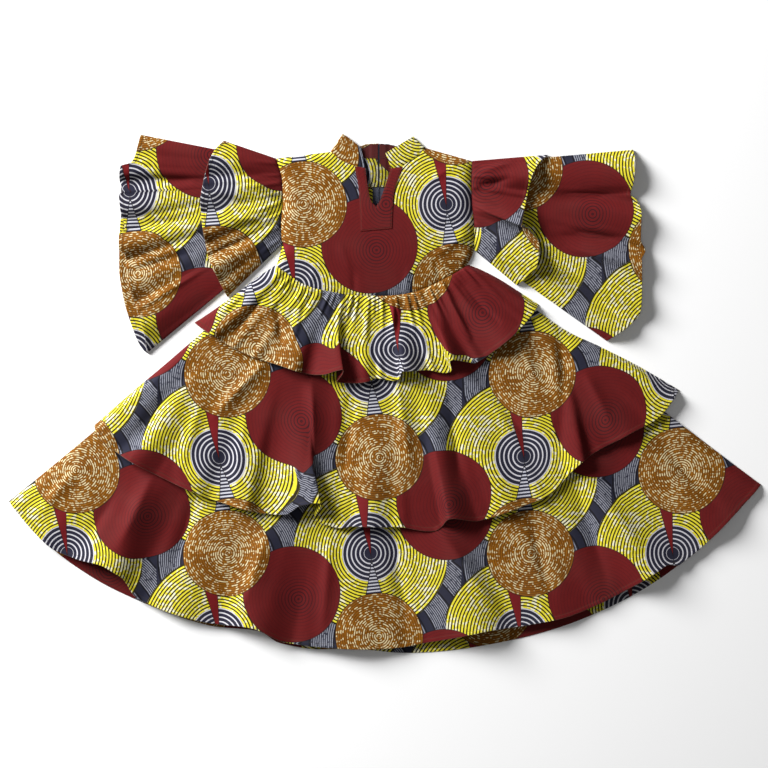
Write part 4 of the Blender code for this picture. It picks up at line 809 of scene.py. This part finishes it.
def bodice_front(material):
    """Front of the bodice, in one piece up to the slit and in two beside it."""
    rows, columns, left_shoulder, right_neck = 56, 60, 36, 30
    left_upper, left_lower = side_edges(ARMHOLE_LEFT, SIDE_LEFT, rows)
    right_upper, right_lower = side_edges(ARMHOLE_RIGHT, SIDE_RIGHT, rows)
    waist = waist_edge(*WAIST_ENDS, 2 * columns - 1)
    left_lower[0], right_lower[0] = waist[0], waist[-1]
    left_top = np.concatenate([sampled(SHOULDER_LEFT, left_shoulder)[:-1],
                               sampled(NECK_LEFT, columns - left_shoulder + 1)])
    right_top = np.concatenate([sampled(NECK_RIGHT, right_neck)[:-1],
                                sampled(SHOULDER_RIGHT, columns - right_neck + 1)])
    plans = slit_plans(waist, (left_lower, right_lower), (left_upper, right_upper), (left_top, right_top),
                       (sampled(SLIT_LEFT, rows), sampled(SLIT_RIGHT, rows)), columns)
    grids = [plain_grid(xy, bodice_height(xy), (0.180, -0.215)) for xy in plans]
    sewn("front_of_bodice", "bodice_front", grids, material)


def bodice_back(material):
    """The two halves of the back, flat on the surface, with the zip between them."""
    rows, side_rows = 60, 12
    gap = SEAM / 2 + 0.0001
    halves = (("left", ARMHOLE_LEFT, SIDE_LEFT, SHOULDER_LEFT, BACK_NECK_LEFT, WAIST_ENDS[0], 0),
              ("right", ARMHOLE_RIGHT, SIDE_RIGHT, SHOULDER_RIGHT, BACK_NECK_RIGHT, 0, WAIST_ENDS[1]))
    for name, armhole, side, shoulder, neck, first, last in halves:
        left = name == "left"
        outer = np.concatenate([sampled(side, side_rows, 1, 0)[:-1],
                                sampled(armhole, rows - side_rows + 1, 1, 0)])
        waist = waist_edge(first, last, 40)
        parts = [sampled(shoulder, 21), sampled(neck, 20)]
        start, end = parts if left else parts[::-1]
        top = np.concatenate([start[:-1], end])
        inner = -1 if left else 0
        top[inner, 0] = waist[inner, 0] = CENTRE_BACK + (-gap if left else gap)
        outer[0] = waist[0] if left else waist[-1]
        middle = sampled([waist[inner], top[inner]], rows)
        xy = plan_grid(waist, top, outer, middle) if left else plan_grid(waist, top, middle, outer)
        height = ON_FLOOR + crease_lift(UNDERSIDE_CREASES, xy)
        grid = plain_grid(xy, height, (0.07 if left else -0.02, -0.33))
        sewn(f"back_of_bodice_{name}", f"bodice_back_{name}", [grid], material)


def placket(material):
    """Facing on the front round the slit, one layer above the bodice front."""
    columns = 18
    down = np.linspace(0, 1, 24)
    up = np.linspace(0, 1, 50)
    lower, upper = [], []
    for edge in (PLACKET_LEFT, PLACKET_RIGHT):
        share = share_at_level(edge, PLACKET_SPLIT)
        lower.append(along(edge, down * share))
        upper.append(along(edge, share + up * (1 - share)))
    bottom = sampled([lower[0][0], lower[1][0]], 2 * columns - 1)
    slits = along(SLIT_LEFT, up), along(SLIT_RIGHT, up)
    tops = sampled([upper[0][-1], slits[0][-1]], columns), sampled([slits[1][-1], upper[1][-1]], columns)
    border = [PLACKET_LEFT, PLACKET_RIGHT, [Point(*lower[0][0]), Point(*lower[1][0])], SLIT_LEFT, SLIT_RIGHT]
    grids = []
    for xy in slit_plans(bottom, lower, upper, tops, slits, columns):
        to_edge = distance_to(border, xy)
        sunk = straight(PLACKET_EDGE, to_edge), straight(STITCH_DIP, np.abs(to_edge - EDGE_STITCH))
        sew = np.stack([to_edge + STITCH_LINE - EDGE_STITCH, xy[..., 0] + xy[..., 1]], axis=-1)
        height = bodice_height(xy) + PITCH - sunk[0] - sunk[1]
        grids.append(plain_grid(xy, height, (0.161, -0.307), sew=sew))
    sewn("placket_round_slit", "neck_placket", grids, material)


def folded_height(front, back, edge, distance):
    """Heights of a front and a back layer that run into each other in a round fold at distance 0."""
    middle = (edge + back) / 2
    radius = (edge - back) / 2
    rolled = np.sqrt(1 - (1 - np.clip(distance / radius, 0, 1)) ** 2)
    return middle + (front - middle) * rolled, middle + (back - middle) * rolled


def collar(material):
    """The two halves of the stand collar, each in one strip folded at the side of the neck."""
    rise = np.linspace(0, 1, COLLAR_ROWS)[:, None, None]
    up = rise[..., 0]
    radius = (NECK_LEVEL - ON_FLOOR) / 2
    bend = radius * (1 - np.cos(np.linspace(0, np.pi / 2, 9)))
    halves = (("left", NECK_LEFT, COLLAR_TOP_LEFT, BACK_NECK_LEFT, COLLAR_BACK_TOP_LEFT, -1, (-0.077, 0.144)),
              ("right", NECK_RIGHT[::-1], COLLAR_TOP_RIGHT, BACK_NECK_RIGHT[::-1], COLLAR_BACK_TOP_RIGHT, 1,
               (0.125, -0.060)))
    for name, front_base, front_top, back_base, back_top, side, offset in halves:
        layers = []
        for base, top in ((front_base, front_top), (back_base, back_top)):
            length = np.linalg.norm(np.array(base[0]) - np.array(base[-1]))
            places = np.concatenate([bend / length, np.linspace(bend[-1] / length, 1, 42)[1:]])
            lower = along(base, places) + np.array([0, COLLAR_SEAM])
            layers.append(((1 - rise) * lower[None] + rise * along(top, places)[None], places * length))
        (front_xy, front_run), (back_xy, back_run) = layers
        back_xy[..., 0] += side * SEAM * 0.75 * (back_run / back_run[-1])
        front = folded_height(NECK_LEVEL, ON_FLOOR, NECK_LEVEL, front_run)[0]
        back = folded_height(NECK_LEVEL, ON_FLOOR, NECK_LEVEL, back_run)[1]
        swell = COLLAR_SWELL * np.sin(np.pi * up) * ease(front_run / 0.01)
        front = front - COLLAR_DIP * (1 - ease(up / 0.12)) + swell
        strip = np.concatenate([with_height(front_xy, front)[:, ::-1], with_height(back_xy, back)[:, 1:]],
                               axis=1)
        run = np.broadcast_to(run_along(strip[COLLAR_ROWS // 2]), strip.shape[:2])
        tall = up * COLLAR_HEIGHT * np.ones_like(run)
        to_top = COLLAR_HEIGHT - tall
        cut = np.stack([run * -side, tall], axis=-1) + np.array(offset)
        sew = np.stack([to_top + STITCH_LINE - EDGE_STITCH, run], axis=-1)
        half = straight(COLLAR_PROFILE, to_top)
        sewn(f"stand_collar_{name}", f"collar_{name}", [turned(Grid(strip, half, cut, sew), rows=side)],
             material)


def sleeve_sides(sleeve, hem, reach):
    """The first and the last line from a sleeve's armhole to a hem, at some shares of the way."""
    return [along(sleeve.armhole, np.array([end])) * (1 - reach) + along(hem, np.array([end])) * reach
            for end in (0.0, 1.0)]


def sleeve_layer(sleeve, hem, share, reach):
    """Front and back of a sleeve between its armhole and a hem, with the undeformed plan."""
    armhole = along(sleeve.armhole, sleeve.inset + share * (1 - 2 * sleeve.inset))
    armhole[..., 0] += sleeve.side * SLEEVE_SEAM
    xy = armhole + reach[..., None] * (along(hem, share) - armhole)
    first, last = sleeve_sides(sleeve, hem, reach[..., None])
    distance = np.minimum(share, 1 - share) * np.linalg.norm(last - first, axis=-1)
    apart = xy - np.array(sleeve.apex)
    angle = np.degrees(np.arctan2(-apart[..., 1], sleeve.side * apart[..., 0]))
    grown = np.clip((reach - sleeve.start) / (1 - sleeve.start), 0, 1) ** SLEEVE_GROWTH
    lift = np.zeros(angle.shape)
    lean = np.zeros(angle.shape)
    for pleat in sleeve.pleats:
        shape = grown * bump(angle - pleat.angle, pleat.up, pleat.down) ** PLEAT_SHARPNESS
        lift += pleat.height * shape
        lean += pleat.lean * shape
    for tuck in sleeve.tucks:
        rise = pucker(reach / tuck.reach)
        lift += tuck.height * rise * bump(angle - tuck.angle, tuck.half_width, tuck.half_width)
    if sleeve.tucks:
        lift -= ditch(reach * FLOUNCE_LENGTH)
    edge = smooth(sleeve.edge, reach)
    rolled = ease(distance / SLEEVE_ROLL)
    inside = smooth(sleeve.rest, reach) + lift
    creased = inside + crease_lift(sleeve.creases, xy) * ease((reach - sleeve.start) * CREASE_GROWTH)
    inside = np.maximum(creased, np.minimum(inside, smooth(sleeve.least, reach)))
    front = edge + (inside - edge) * rolled
    back = straight(sleeve.back, reach) + crease_lift(UNDERSIDE_CREASES, xy)
    front, back = folded_height(front, back, edge, distance)
    turn = np.radians(angle)
    down = np.stack([-sleeve.side * np.sin(turn), -np.cos(turn)], axis=-1)
    return with_height(xy + down * (lean * rolled)[..., None], front), with_height(xy, back), xy


def sleeve_tube(place, side, sleeve, columns, back_columns, rows, offset, flat, area, material):
    """One flounce of a sleeve as a flattened tube, which rests on the other flounce."""
    middle = len(sleeve.hem) // 2
    length = np.linalg.norm(np.array(sleeve.hem[middle]) - np.array(sleeve.armhole[2]))
    reach = hem_rows(rows, length)[:, None]
    fine = np.linspace(0, 1, 2001)[None, :]
    places = even_places(sleeve_layer(sleeve, sleeve.hem, fine, np.ones((1, 1)))[0][0], columns)
    radius = (smooth(sleeve.edge, reach) - straight(sleeve.back, reach)) / 2
    bend = (1 - np.cos(np.linspace(0, np.pi / 2, 7)))[None, :] * radius
    first, last = sleeve_sides(sleeve, sleeve.hem, reach)
    roll = bend / np.linalg.norm(last - first, axis=1)[:, None]

    def shares(inner):
        """Places across the tube, close together at each side fold, for each row."""
        spread = roll[:, -1:] + inner[None, :] * (1 - 2 * roll[:, -1:])
        return np.concatenate([roll[:, :-1], spread, 1 - roll[:, -2::-1]], axis=1)

    front_share, back_share = shares(places), shares(np.linspace(0, 1, back_columns))
    front, _, plan = sleeve_layer(sleeve, sleeve.hem, front_share, reach * np.ones_like(front_share))
    back_hem = sleeve.back_hem or sleeve.hem
    _, back, back_plan = sleeve_layer(sleeve, back_hem, back_share, reach * np.ones_like(back_share))
    half = straight(HEM_PROFILE, (1 - reach) * length)
    grids = []
    for points, cut in ((front, across_cut(plan, front)), (back[:, ::-1], back_plan[:, ::-1])):
        grid = Grid(points, half, cut + np.array(offset), hem_sewing(points, reach[:, 0], length))
        grids.append(turned(grid, columns=-sleeve.side))
    other = "lower" if place == "upper" else "upper"
    sewn(f"{place}_flounce_{side}", f"sleeve_{place}_{side}", grids, material)


class Field:
    """A number or a place that varies over the cloth, as an output in a material's node tree."""

    def __init__(self, tree, output):
        self.tree = tree
        self.output = output

    def math(self, operation, *others):
        """Result of a math node on this number and others."""
        node = self.tree.nodes.new("ShaderNodeMath")
        node.operation = operation
        for entry, value in zip(node.inputs, (self, *others)):
            if isinstance(value, Field):
                self.tree.links.new(value.output, entry)
            else:
                entry.default_value = value
        return Field(self.tree, node.outputs[0])

    def __add__(self, other):
        return self.math("ADD", other)

    def __sub__(self, other):
        return self.math("SUBTRACT", other)

    def __mul__(self, other):
        return self.math("MULTIPLY", other)

    def over(self, low, high):
        """Rises smoothly from 0 to 1 between two values, or falls where low is the greater."""
        node = self.tree.nodes.new("ShaderNodeMapRange")
        node.interpolation_type = "SMOOTHSTEP"
        self.tree.links.new(self.output, node.inputs["Value"])
        falling = low > high
        node.inputs["From Min"].default_value = min(low, high)
        node.inputs["From Max"].default_value = max(low, high)
        node.inputs["To Min"].default_value = 1 if falling else 0
        node.inputs["To Max"].default_value = 0 if falling else 1
        return Field(self.tree, node.outputs["Result"])

    def wave(self, pitch):
        """Triangle wave from 0 to 1 and back over each pitch."""
        return self.math("PINGPONG", pitch / 2) * (2 / pitch)


def linear(red, green, blue):
    """Shader colour of a dye from the 0 to 255 values that a screen shows where the cloth is well lit."""
    return tuple(DYE_DEPTH * ((v / 255 + 0.055) / 1.055) ** 2.4 for v in (red, green, blue)) + (1,)


def blend(share, below, above):
    """Colour that goes from one to another; each is a colour or an output."""
    node = share.tree.nodes.new("ShaderNodeMix")
    node.data_type = "RGBA"
    share.tree.links.new(share.output, node.inputs[0])
    for entry, value in ((node.inputs[6], below), (node.inputs[7], above)):
        if isinstance(value, tuple):
            entry.default_value = value
        else:
            share.tree.links.new(value, entry)
    return node.outputs[2]


def noise(place, scale, detail=2.0, roughness=0.5):
    """Noise over the cloth, about 0 to 1."""
    node = place.tree.nodes.new("ShaderNodeTexNoise")
    node.inputs["Scale"].default_value = scale
    node.inputs["Detail"].default_value = detail
    node.inputs["Roughness"].default_value = roughness
    place.tree.links.new(place.output, node.inputs["Vector"])
    return Field(place.tree, node.outputs["Fac"])


def root_of_squares(x, y):
    """Distance of a place from the middle."""
    return (x * x + y * y).math("SQRT")


def around(x, y, disc):
    """Place relative to the nearest repeat of a motif, and the distance from its centre."""
    x, y = x - disc.x, y - disc.y
    column = (x * (1 / COLUMN)).math("ROUND")
    local_x = x - column * COLUMN
    dropped = y - column.math("FLOORED_MODULO", 2.0) * DROP
    local_y = dropped - (dropped * (1 / ROW)).math("ROUND") * ROW
    return local_x, local_y, root_of_squares(local_x, local_y)


def wedge(local_x, local_y, degrees, spread, start):
    """How far a place lies inside a wedge that opens from near the centre, and how far out it lies."""
    turn = math.radians(degrees)
    out = local_x * math.cos(turn) + local_y * math.sin(turn)
    aside = (local_y * math.cos(turn) - local_x * math.sin(turn)).math("ABSOLUTE")
    return (out - start) * spread - aside, out


def stamped(colour, far, disc, edge, face):
    """A colour with the face of a disc printed on it, inside an outline."""
    colour = blend(far.over(disc.radius + OUTLINE, disc.radius), colour, edge)
    return blend(far.over(disc.radius, disc.radius - OUTLINE), colour, face)


def disc_print(cloth, x, y):
    """Colour of the print: ringed discs on a half-drop repeat over a ground of fine arcs."""
    wobble = noise(cloth, 26.0) * 0.0030
    flecks = noise(cloth, 120.0, 3.0, 0.6)
    patches = noise(cloth, 24.0, 2.0)

    # Ground: fine arcs in broad bands, with dark bands between them
    _, _, far = around(x, y, GROUND_ARCS)
    hatch = (far + wobble).wave(ARC_PITCH).over(0.40, 0.66)
    band = (far + wobble * 2).wave(BAND_PITCH)
    ground = blend(hatch * flecks.over(0.30, 0.50), linear(40, 42, 58), linear(158, 160, 172))
    ground = blend(band.over(0.74, 0.72), linear(42, 43, 60), ground)
    ground = blend((band - 0.73).math("ABSOLUTE").over(0.050, 0.030), ground, linear(24, 22, 28))

    # Yellow disc: fine rings, white strokes, a hub of rings, a plain wedge upward and a barred one downward
    local_x, local_y, far = around(x, y, YELLOW_DISC)
    ringed = far + wobble * 0.5
    white = (flecks + patches * 0.5 - 0.25).over(0.53, 0.60)
    face = blend(white * 0.90, linear(246, 232, 56), linear(255, 252, 226))
    lines = (ringed.wave(RING_PITCH) + flecks * 0.24).over(0.66, 0.46)
    face = blend(lines, face, linear(44, 36, 4))
    hub_ring = ringed.wave(HUB_PITCH).over(0.62, 0.80) * far.over(HUB_CENTRE, HUB_CENTRE + 0.001)
    hub = blend(hub_ring, linear(40, 40, 58), linear(226, 224, 230))
    face = blend(far.over(HUB_RADIUS + 0.0006, HUB_RADIUS - 0.0006), face, hub)
    inside, _ = wedge(local_x, local_y, *UPPER_WEDGE)
    face = blend(inside.over(-0.0012, -0.0004), face, linear(28, 20, 24))
    face = blend(inside.over(0, 0.0006), face, linear(122, 24, 28))
    inside, out = wedge(local_x, local_y, *LOWER_WEDGE)
    face = blend(inside.over(-0.0012, -0.0004), face, linear(28, 26, 34))
    bars = blend(out.wave(BAR_PITCH).over(0.50, 0.62), linear(40, 41, 60), linear(214, 214, 224))
    face = blend(inside.over(0.0004, 0.0010), face, bars)
    colour = stamped(ground, far, YELLOW_DISC, linear(26, 24, 26), face)

    # Maroon disc: faint rings round a point beside its centre
    local_x, local_y, far = around(x, y, MAROON_DISC)
    spiral = root_of_squares(local_x - SPIRAL_CENTRE[0], local_y - SPIRAL_CENTRE[1]) + wobble
    rings = spiral.wave(SPIRAL_PITCH).over(0.62, 0.84) * (spiral.over(0.062, 0.010) * 0.75 + 0.20)
    face = blend(patches, linear(116, 24, 24), linear(102, 24, 26))
    face = blend(rings, face, linear(46, 18, 26))
    colour = stamped(colour, far, MAROON_DISC, linear(26, 20, 24), face)

    # Ochre disc: dashes along its rings, darker towards its edge
    _, _, far = around(x, y, OCHRE_DISC)
    ringed = (far + wobble * 1.4).wave(DASH_PITCH)
    dashes = (noise(cloth, 150.0, 1.0) + patches * 0.3 - far * 1.2).over(0.58, 0.65)
    face = blend(patches.over(0.35, 0.65), linear(140, 84, 4), linear(160, 100, 14))
    face = blend((ringed + flecks * 0.2).over(0.42, 0.24) * 0.85, face, linear(64, 38, 4))
    face = blend(ringed.over(0.40, 0.66) * dashes, face, linear(240, 226, 178))
    face = blend(far.over(0.072, 0.100) * 0.35, face, linear(90, 64, 34))
    return stamped(colour, far, OCHRE_DISC, linear(30, 24, 22), face)


def new_material(name):
    """A material with its node tree and its shader."""
    material = bpy.data.materials.new(name)
    material.use_nodes = True
    return material, material.node_tree, material.node_tree.nodes["Principled BSDF"]


def split(tree, output):
    """A place as a whole, and its first two numbers."""
    apart = tree.nodes.new("ShaderNodeSeparateXYZ")
    tree.links.new(output, apart.inputs[0])
    return Field(tree, output), Field(tree, apart.outputs[0]), Field(tree, apart.outputs[1])


def uv_place(tree, name):
    """A place in one of the flat plans of a piece, and its two numbers."""
    node = tree.nodes.new("ShaderNodeUVMap")
    node.uv_map = name
    return split(tree, node.outputs[0])


def add_relief(shader, height, strength, distance):
    """Makes a height show as relief under the light."""
    relief = height.tree.nodes.new("ShaderNodeBump")
    relief.inputs["Strength"].default_value = strength
    relief.inputs["Distance"].default_value = distance
    height.tree.links.new(height.output, relief.inputs["Height"])
    height.tree.links.new(relief.outputs[0], shader.inputs["Normal"])


def printed_cotton(name, painted_shade):
    """Wax-printed cotton: print, stitches, worn edges, weave and fine crumples; the second argument paints
    shade over the whole piece, darkening it unevenly.
    """
    material, tree, shader = new_material(name)
    cloth, x, y = uv_place(tree, "cut")
    _, to_edge, run = uv_place(tree, "sew")

    colour = disc_print(cloth, x, y)
    fade = noise(cloth, 9.0)
    colour = blend(fade.over(0.40, 0.75) * 0.04, colour, linear(120, 112, 100))
    from_stitches = (to_edge - STITCH_LINE).math("ABSOLUTE")
    stitch = from_stitches.over(0.00045, 0.00020) * run.wave(STITCH_PITCH).over(0.30, 0.36)
    colour = blend(stitch, colour, linear(66, 56, 40))
    colour = blend(to_edge.over(0.0010, 0.0003) * 0.35, colour, linear(150, 140, 120))
    # Painted shade: darkens the whole piece unevenly towards a dark grey-brown, standing in for the shade
    # inside the neck
    colour = blend(fade * 0.2 + painted_shade, colour, linear(40, 36, 34)) if painted_shade else colour
    tree.links.new(colour, shader.inputs["Base Color"])

    warp = (x * (math.tau / WEAVE_PITCH)).math("SINE")
    weft = (y * (math.tau / WEAVE_PITCH)).math("SINE")
    crumple = noise(cloth, 55.0, 3.0) * 2.2 + noise(cloth, 420.0, 2.0) * 0.5
    groove = from_stitches.over(0.0002, 0.0012) * 0.6
    add_relief(shader, crumple + warp * weft * 0.10 + groove, 0.35, 0.0007)
    rough = noise(cloth, 30.0) * 0.14 + 0.66
    tree.links.new(rough.output, shader.inputs["Roughness"])
    shader.inputs["Metallic"].default_value = 0.0
    shader.inputs["Specular IOR Level"].default_value = 0.10
    shader.inputs["Sheen Weight"].default_value = 0.02
    shader.inputs["Sheen Roughness"].default_value = 0.5
    return material


def navy_nylon(name, pitch, roughness):
    """Woven tape or moulded coil of the zip."""
    material, tree, shader = new_material(name)
    place, x, y = split(tree, tree.nodes.new("ShaderNodeTexCoord").outputs["Object"])
    rib = (x + y).wave(pitch) * 0.5 + (y - x).wave(pitch) * 0.5
    wear = noise(place, 160.0)
    colour = blend(rib * 0.5 + wear * 0.4, linear(38, 40, 56), linear(74, 78, 100))
    tree.links.new(colour, shader.inputs["Base Color"])
    add_relief(shader, rib, 0.5, 0.0002)
    shader.inputs["Roughness"].default_value = roughness
    shader.inputs["Metallic"].default_value = 0.0
    return material


def level_at(path, x):
    """Level in Y of a curve at places in X."""
    curve = sampled(path, 400)
    order = np.argsort(curve[:, 0])
    return np.interp(x, curve[order, 0], curve[order, 1])


def facings(material):
    """The facings inside the back neck and the collar, two halves each, over the zip tape."""
    halves = (("left", BACK_NECK_LEFT, COLLAR_BACK_TOP_LEFT, -1),
              ("right", BACK_NECK_RIGHT, COLLAR_BACK_TOP_RIGHT, 1))
    from_centre = np.linspace(FACING[0].from_centre, FACING[-1].from_centre, 40)
    height = straight(FACING, from_centre)
    up = np.linspace(0, 1, 36)[:, None]
    for name, neck, collar_top, side in halves:
        x = CENTRE_BACK + side * from_centre
        seam = level_at(neck, x)
        bottom = np.full(len(x), FACING_BOTTOM)
        top = level_at(collar_top, x) - FACING_MARGIN
        pieces = (("neck_facing", bottom, seam - SEAM / 2, (0.085, -0.440), (0.05, 0.058)),
                  ("collar_facing", seam + SEAM / 2, top, (0.099, -0.404), (0.05, 0.032)))
        for node, low, high, offset, flat in pieces:
            y = (1 - up) * low + up * high
            across = np.broadcast_to(x, y.shape)
            sew = np.stack([y - low + STITCH_LINE - FACING_STITCH, across], axis=-1)
            xy = np.stack([across, y], axis=-1)
            grid = plain_grid(xy, np.broadcast_to(height, y.shape), offset, sew=sew)
            sewn(f"{node}_panel_{name}", f"{node}_{name}", [turned(grid, columns=side)], material)


def zip_tape():
    """Tape of the zip, a little raised on both sides of its coil."""
    across = np.linspace(-1, 1, 25) * ZIP_WIDTH / 2
    up = np.linspace(ZIP_BOTTOM, ZIP_TOP, 160)
    xy = np.stack(np.meshgrid(CENTRE_BACK + across, up), axis=-1)
    raised = RIDGE_HEIGHT * bump(np.abs(across) - RIDGE_PLACE, RIDGE_WIDTH, RIDGE_WIDTH)
    half = straight(TAPE_PROFILE, ZIP_WIDTH / 2 - np.abs(across))
    grid = plain_grid(xy, (ZIP_LEVEL - TAPE_DROP + raised)[None, :], (0, 0), half)
    sewn("zip_tape", "back_zip", [grid], navy_nylon("zip_tape", pitch=0.0012, roughness=0.8))


def zip_coil():
    """Closed coil of the zip: one loop for each tooth, from alternate sides."""
    ring, steps = 8, 9
    share = np.linspace(0, 1, steps)
    radius = TOOTH_RADIUS * np.sqrt(np.clip(1 - np.abs(2 * share - 1) ** 6, 0.15, 1))
    bow = TOOTH_BOW * np.sin(np.pi * share)
    points, faces = [], []
    for k in range(int((ZIP_TOP - 2 * BARE_TAPE - ZIP_BOTTOM) / TOOTH_PITCH)):
        side = 1 if k % 2 else -1
        place = ZIP_BOTTOM + BARE_TAPE + TOOTH_PITCH * k
        loop = len(points) + np.arange(steps * ring).reshape(steps, ring)
        for x, lift, wide in zip(side * (TOOTH_WIDTH / 2 - share * TOOTH_WIDTH * LOOP_SHARE), bow, radius):
            for turn in np.linspace(0, math.tau, ring, endpoint=False):
                points.append((CENTRE_BACK + x, place + wide * math.cos(turn),
                               ZIP_LEVEL + COIL_LIFT + lift + wide * math.sin(turn) * COIL_FLATNESS))
        beside = np.roll(loop, -1, axis=1)
        quads = np.stack([loop[:-1], beside[:-1], beside[1:], loop[1:]], axis=-1).reshape(-1, 4)
        faces += quads[:, [0, 3, 2, 1] if side > 0 else [0, 1, 2, 3]].tolist()
        faces += [loop[0, ::side].tolist(), loop[-1, ::-side].tolist()]
    mesh = bpy.data.meshes.new("zip_coil")
    mesh.from_pydata(points, [], faces)
    mesh.shade_smooth()
    coil = placed("zip_coil", mesh, navy_nylon("zip_coil", pitch=0.0028, roughness=0.45))
    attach(coil, "root")


def stage():
    """Plain pale floor, soft light from the upper left and a camera straight above."""
    mesh = bpy.data.meshes.new("floor")
    around_middle = ((-1, -1), (1, -1), (1, 1), (-1, 1))
    corners = [(x * FLOOR_REACH, y * FLOOR_REACH, FLOOR_LEVEL) for x, y in around_middle]
    mesh.from_pydata(corners, [], [(0, 1, 2, 3)])
    material, _, shader = new_material("floor")
    shader.inputs["Base Color"].default_value = (0.92, 0.92, 0.92, 1)
    shader.inputs["Roughness"].default_value = 0.9
    placed("floor", mesh, material)

    scene = bpy.context.scene
    scene.world = bpy.data.worlds.new("studio")
    scene.world.use_nodes = True
    sky = scene.world.node_tree.nodes["Background"]
    sky.inputs["Color"].default_value = (1, 1, 1, 1)
    sky.inputs["Strength"].default_value = SKY_STRENGTH
    scene.view_settings.view_transform = "Standard"
    for name, place, size, energy in (KEY_LIGHT, TOP_LIGHT):
        light = bpy.data.lights.new(name, "AREA")
        light.energy = energy
        light.size = size
        lamp = bpy.data.objects.new(name, light)
        lamp.location = place
        scene.collection.objects.link(lamp)
        aim = -np.array(place) / np.linalg.norm(place)
        lamp.rotation_euler = (math.acos(-aim[2]), 0, math.atan2(aim[1], aim[0]) - math.pi / 2)

    camera = bpy.data.cameras.new("camera")
    camera.sensor_width = SENSOR_WIDTH
    camera.lens = SENSOR_WIDTH * EYE[2] / PICTURE_WIDTH
    eye = bpy.data.objects.new("camera", camera)
    eye.location = EYE
    scene.collection.objects.link(eye)
    scene.camera = eye


def dress():
    """Every piece of the dress, from the surface up."""
    cotton = printed_cotton("printed_cotton", 0)
    # Layer and hem, columns and rows of points, shift of the print, and sweep of the flat cut in degrees
    flounces = (
        ("peplum_back", PEPLUM, PEPLUM_BACK_HEM, 160, 30, (0.05, -0.10), 104, ["floor"]),
        ("tier_back", TIER, TIER_BACK_HEM, 160, 50, (-0.04, 0.02), 104, ["peplum_back", "floor"]),
        ("skirt_back", SKIRT, SKIRT_BACK_HEM, 180, 80, (0.11, 0.09), 100, ["tier_back", "floor"]),
        ("skirt_front", SKIRT, SKIRT_HEM, 300, 74, (0.030, 0.317), 108, ["skirt_back"]),
        ("tier_front", TIER, TIER_HEM, 320, 60, (0.330, 0.125), 112, ["skirt_front"]),
        ("peplum_front", PEPLUM, PEPLUM_HEM, 360, 44, (-0.030, -0.089), 116, ["tier_front"]))
    for values in flounces:
        flounce(*values, cotton)
    bodice_front(cotton)
    bodice_back(cotton)
    placket(cotton)
    collar(cotton)
    zip_tape()
    zip_coil()
    # The facings get painted shade: their print is darkened to stand in for the shade inside the raised neck
    # and collar
    facings(printed_cotton("cotton_inside_neck_painted_shade", 0.38))
    # Columns of the front and of the back, rows, shift of the print, and size and area of the flat cut
    sleeves = (
        ("upper", "left", UPPER_LEFT, 130, 70, 44, (0.352, -0.419), (0.66, 0.16), 0.078),
        ("upper", "right", UPPER_RIGHT, 150, 70, 44, (-0.041, -0.347), (0.56, 0.15), 0.058),
        ("lower", "left", LOWER_LEFT, 180, 80, 60, (0.51, -0.405), (0.90, 0.34), 0.200),
        ("lower", "right", LOWER_RIGHT, 180, 80, 60, (-0.251, -0.287), (0.90, 0.34), 0.200))
    for values in sleeves:
        sleeve_tube(*values, cotton)


stage()
dress()
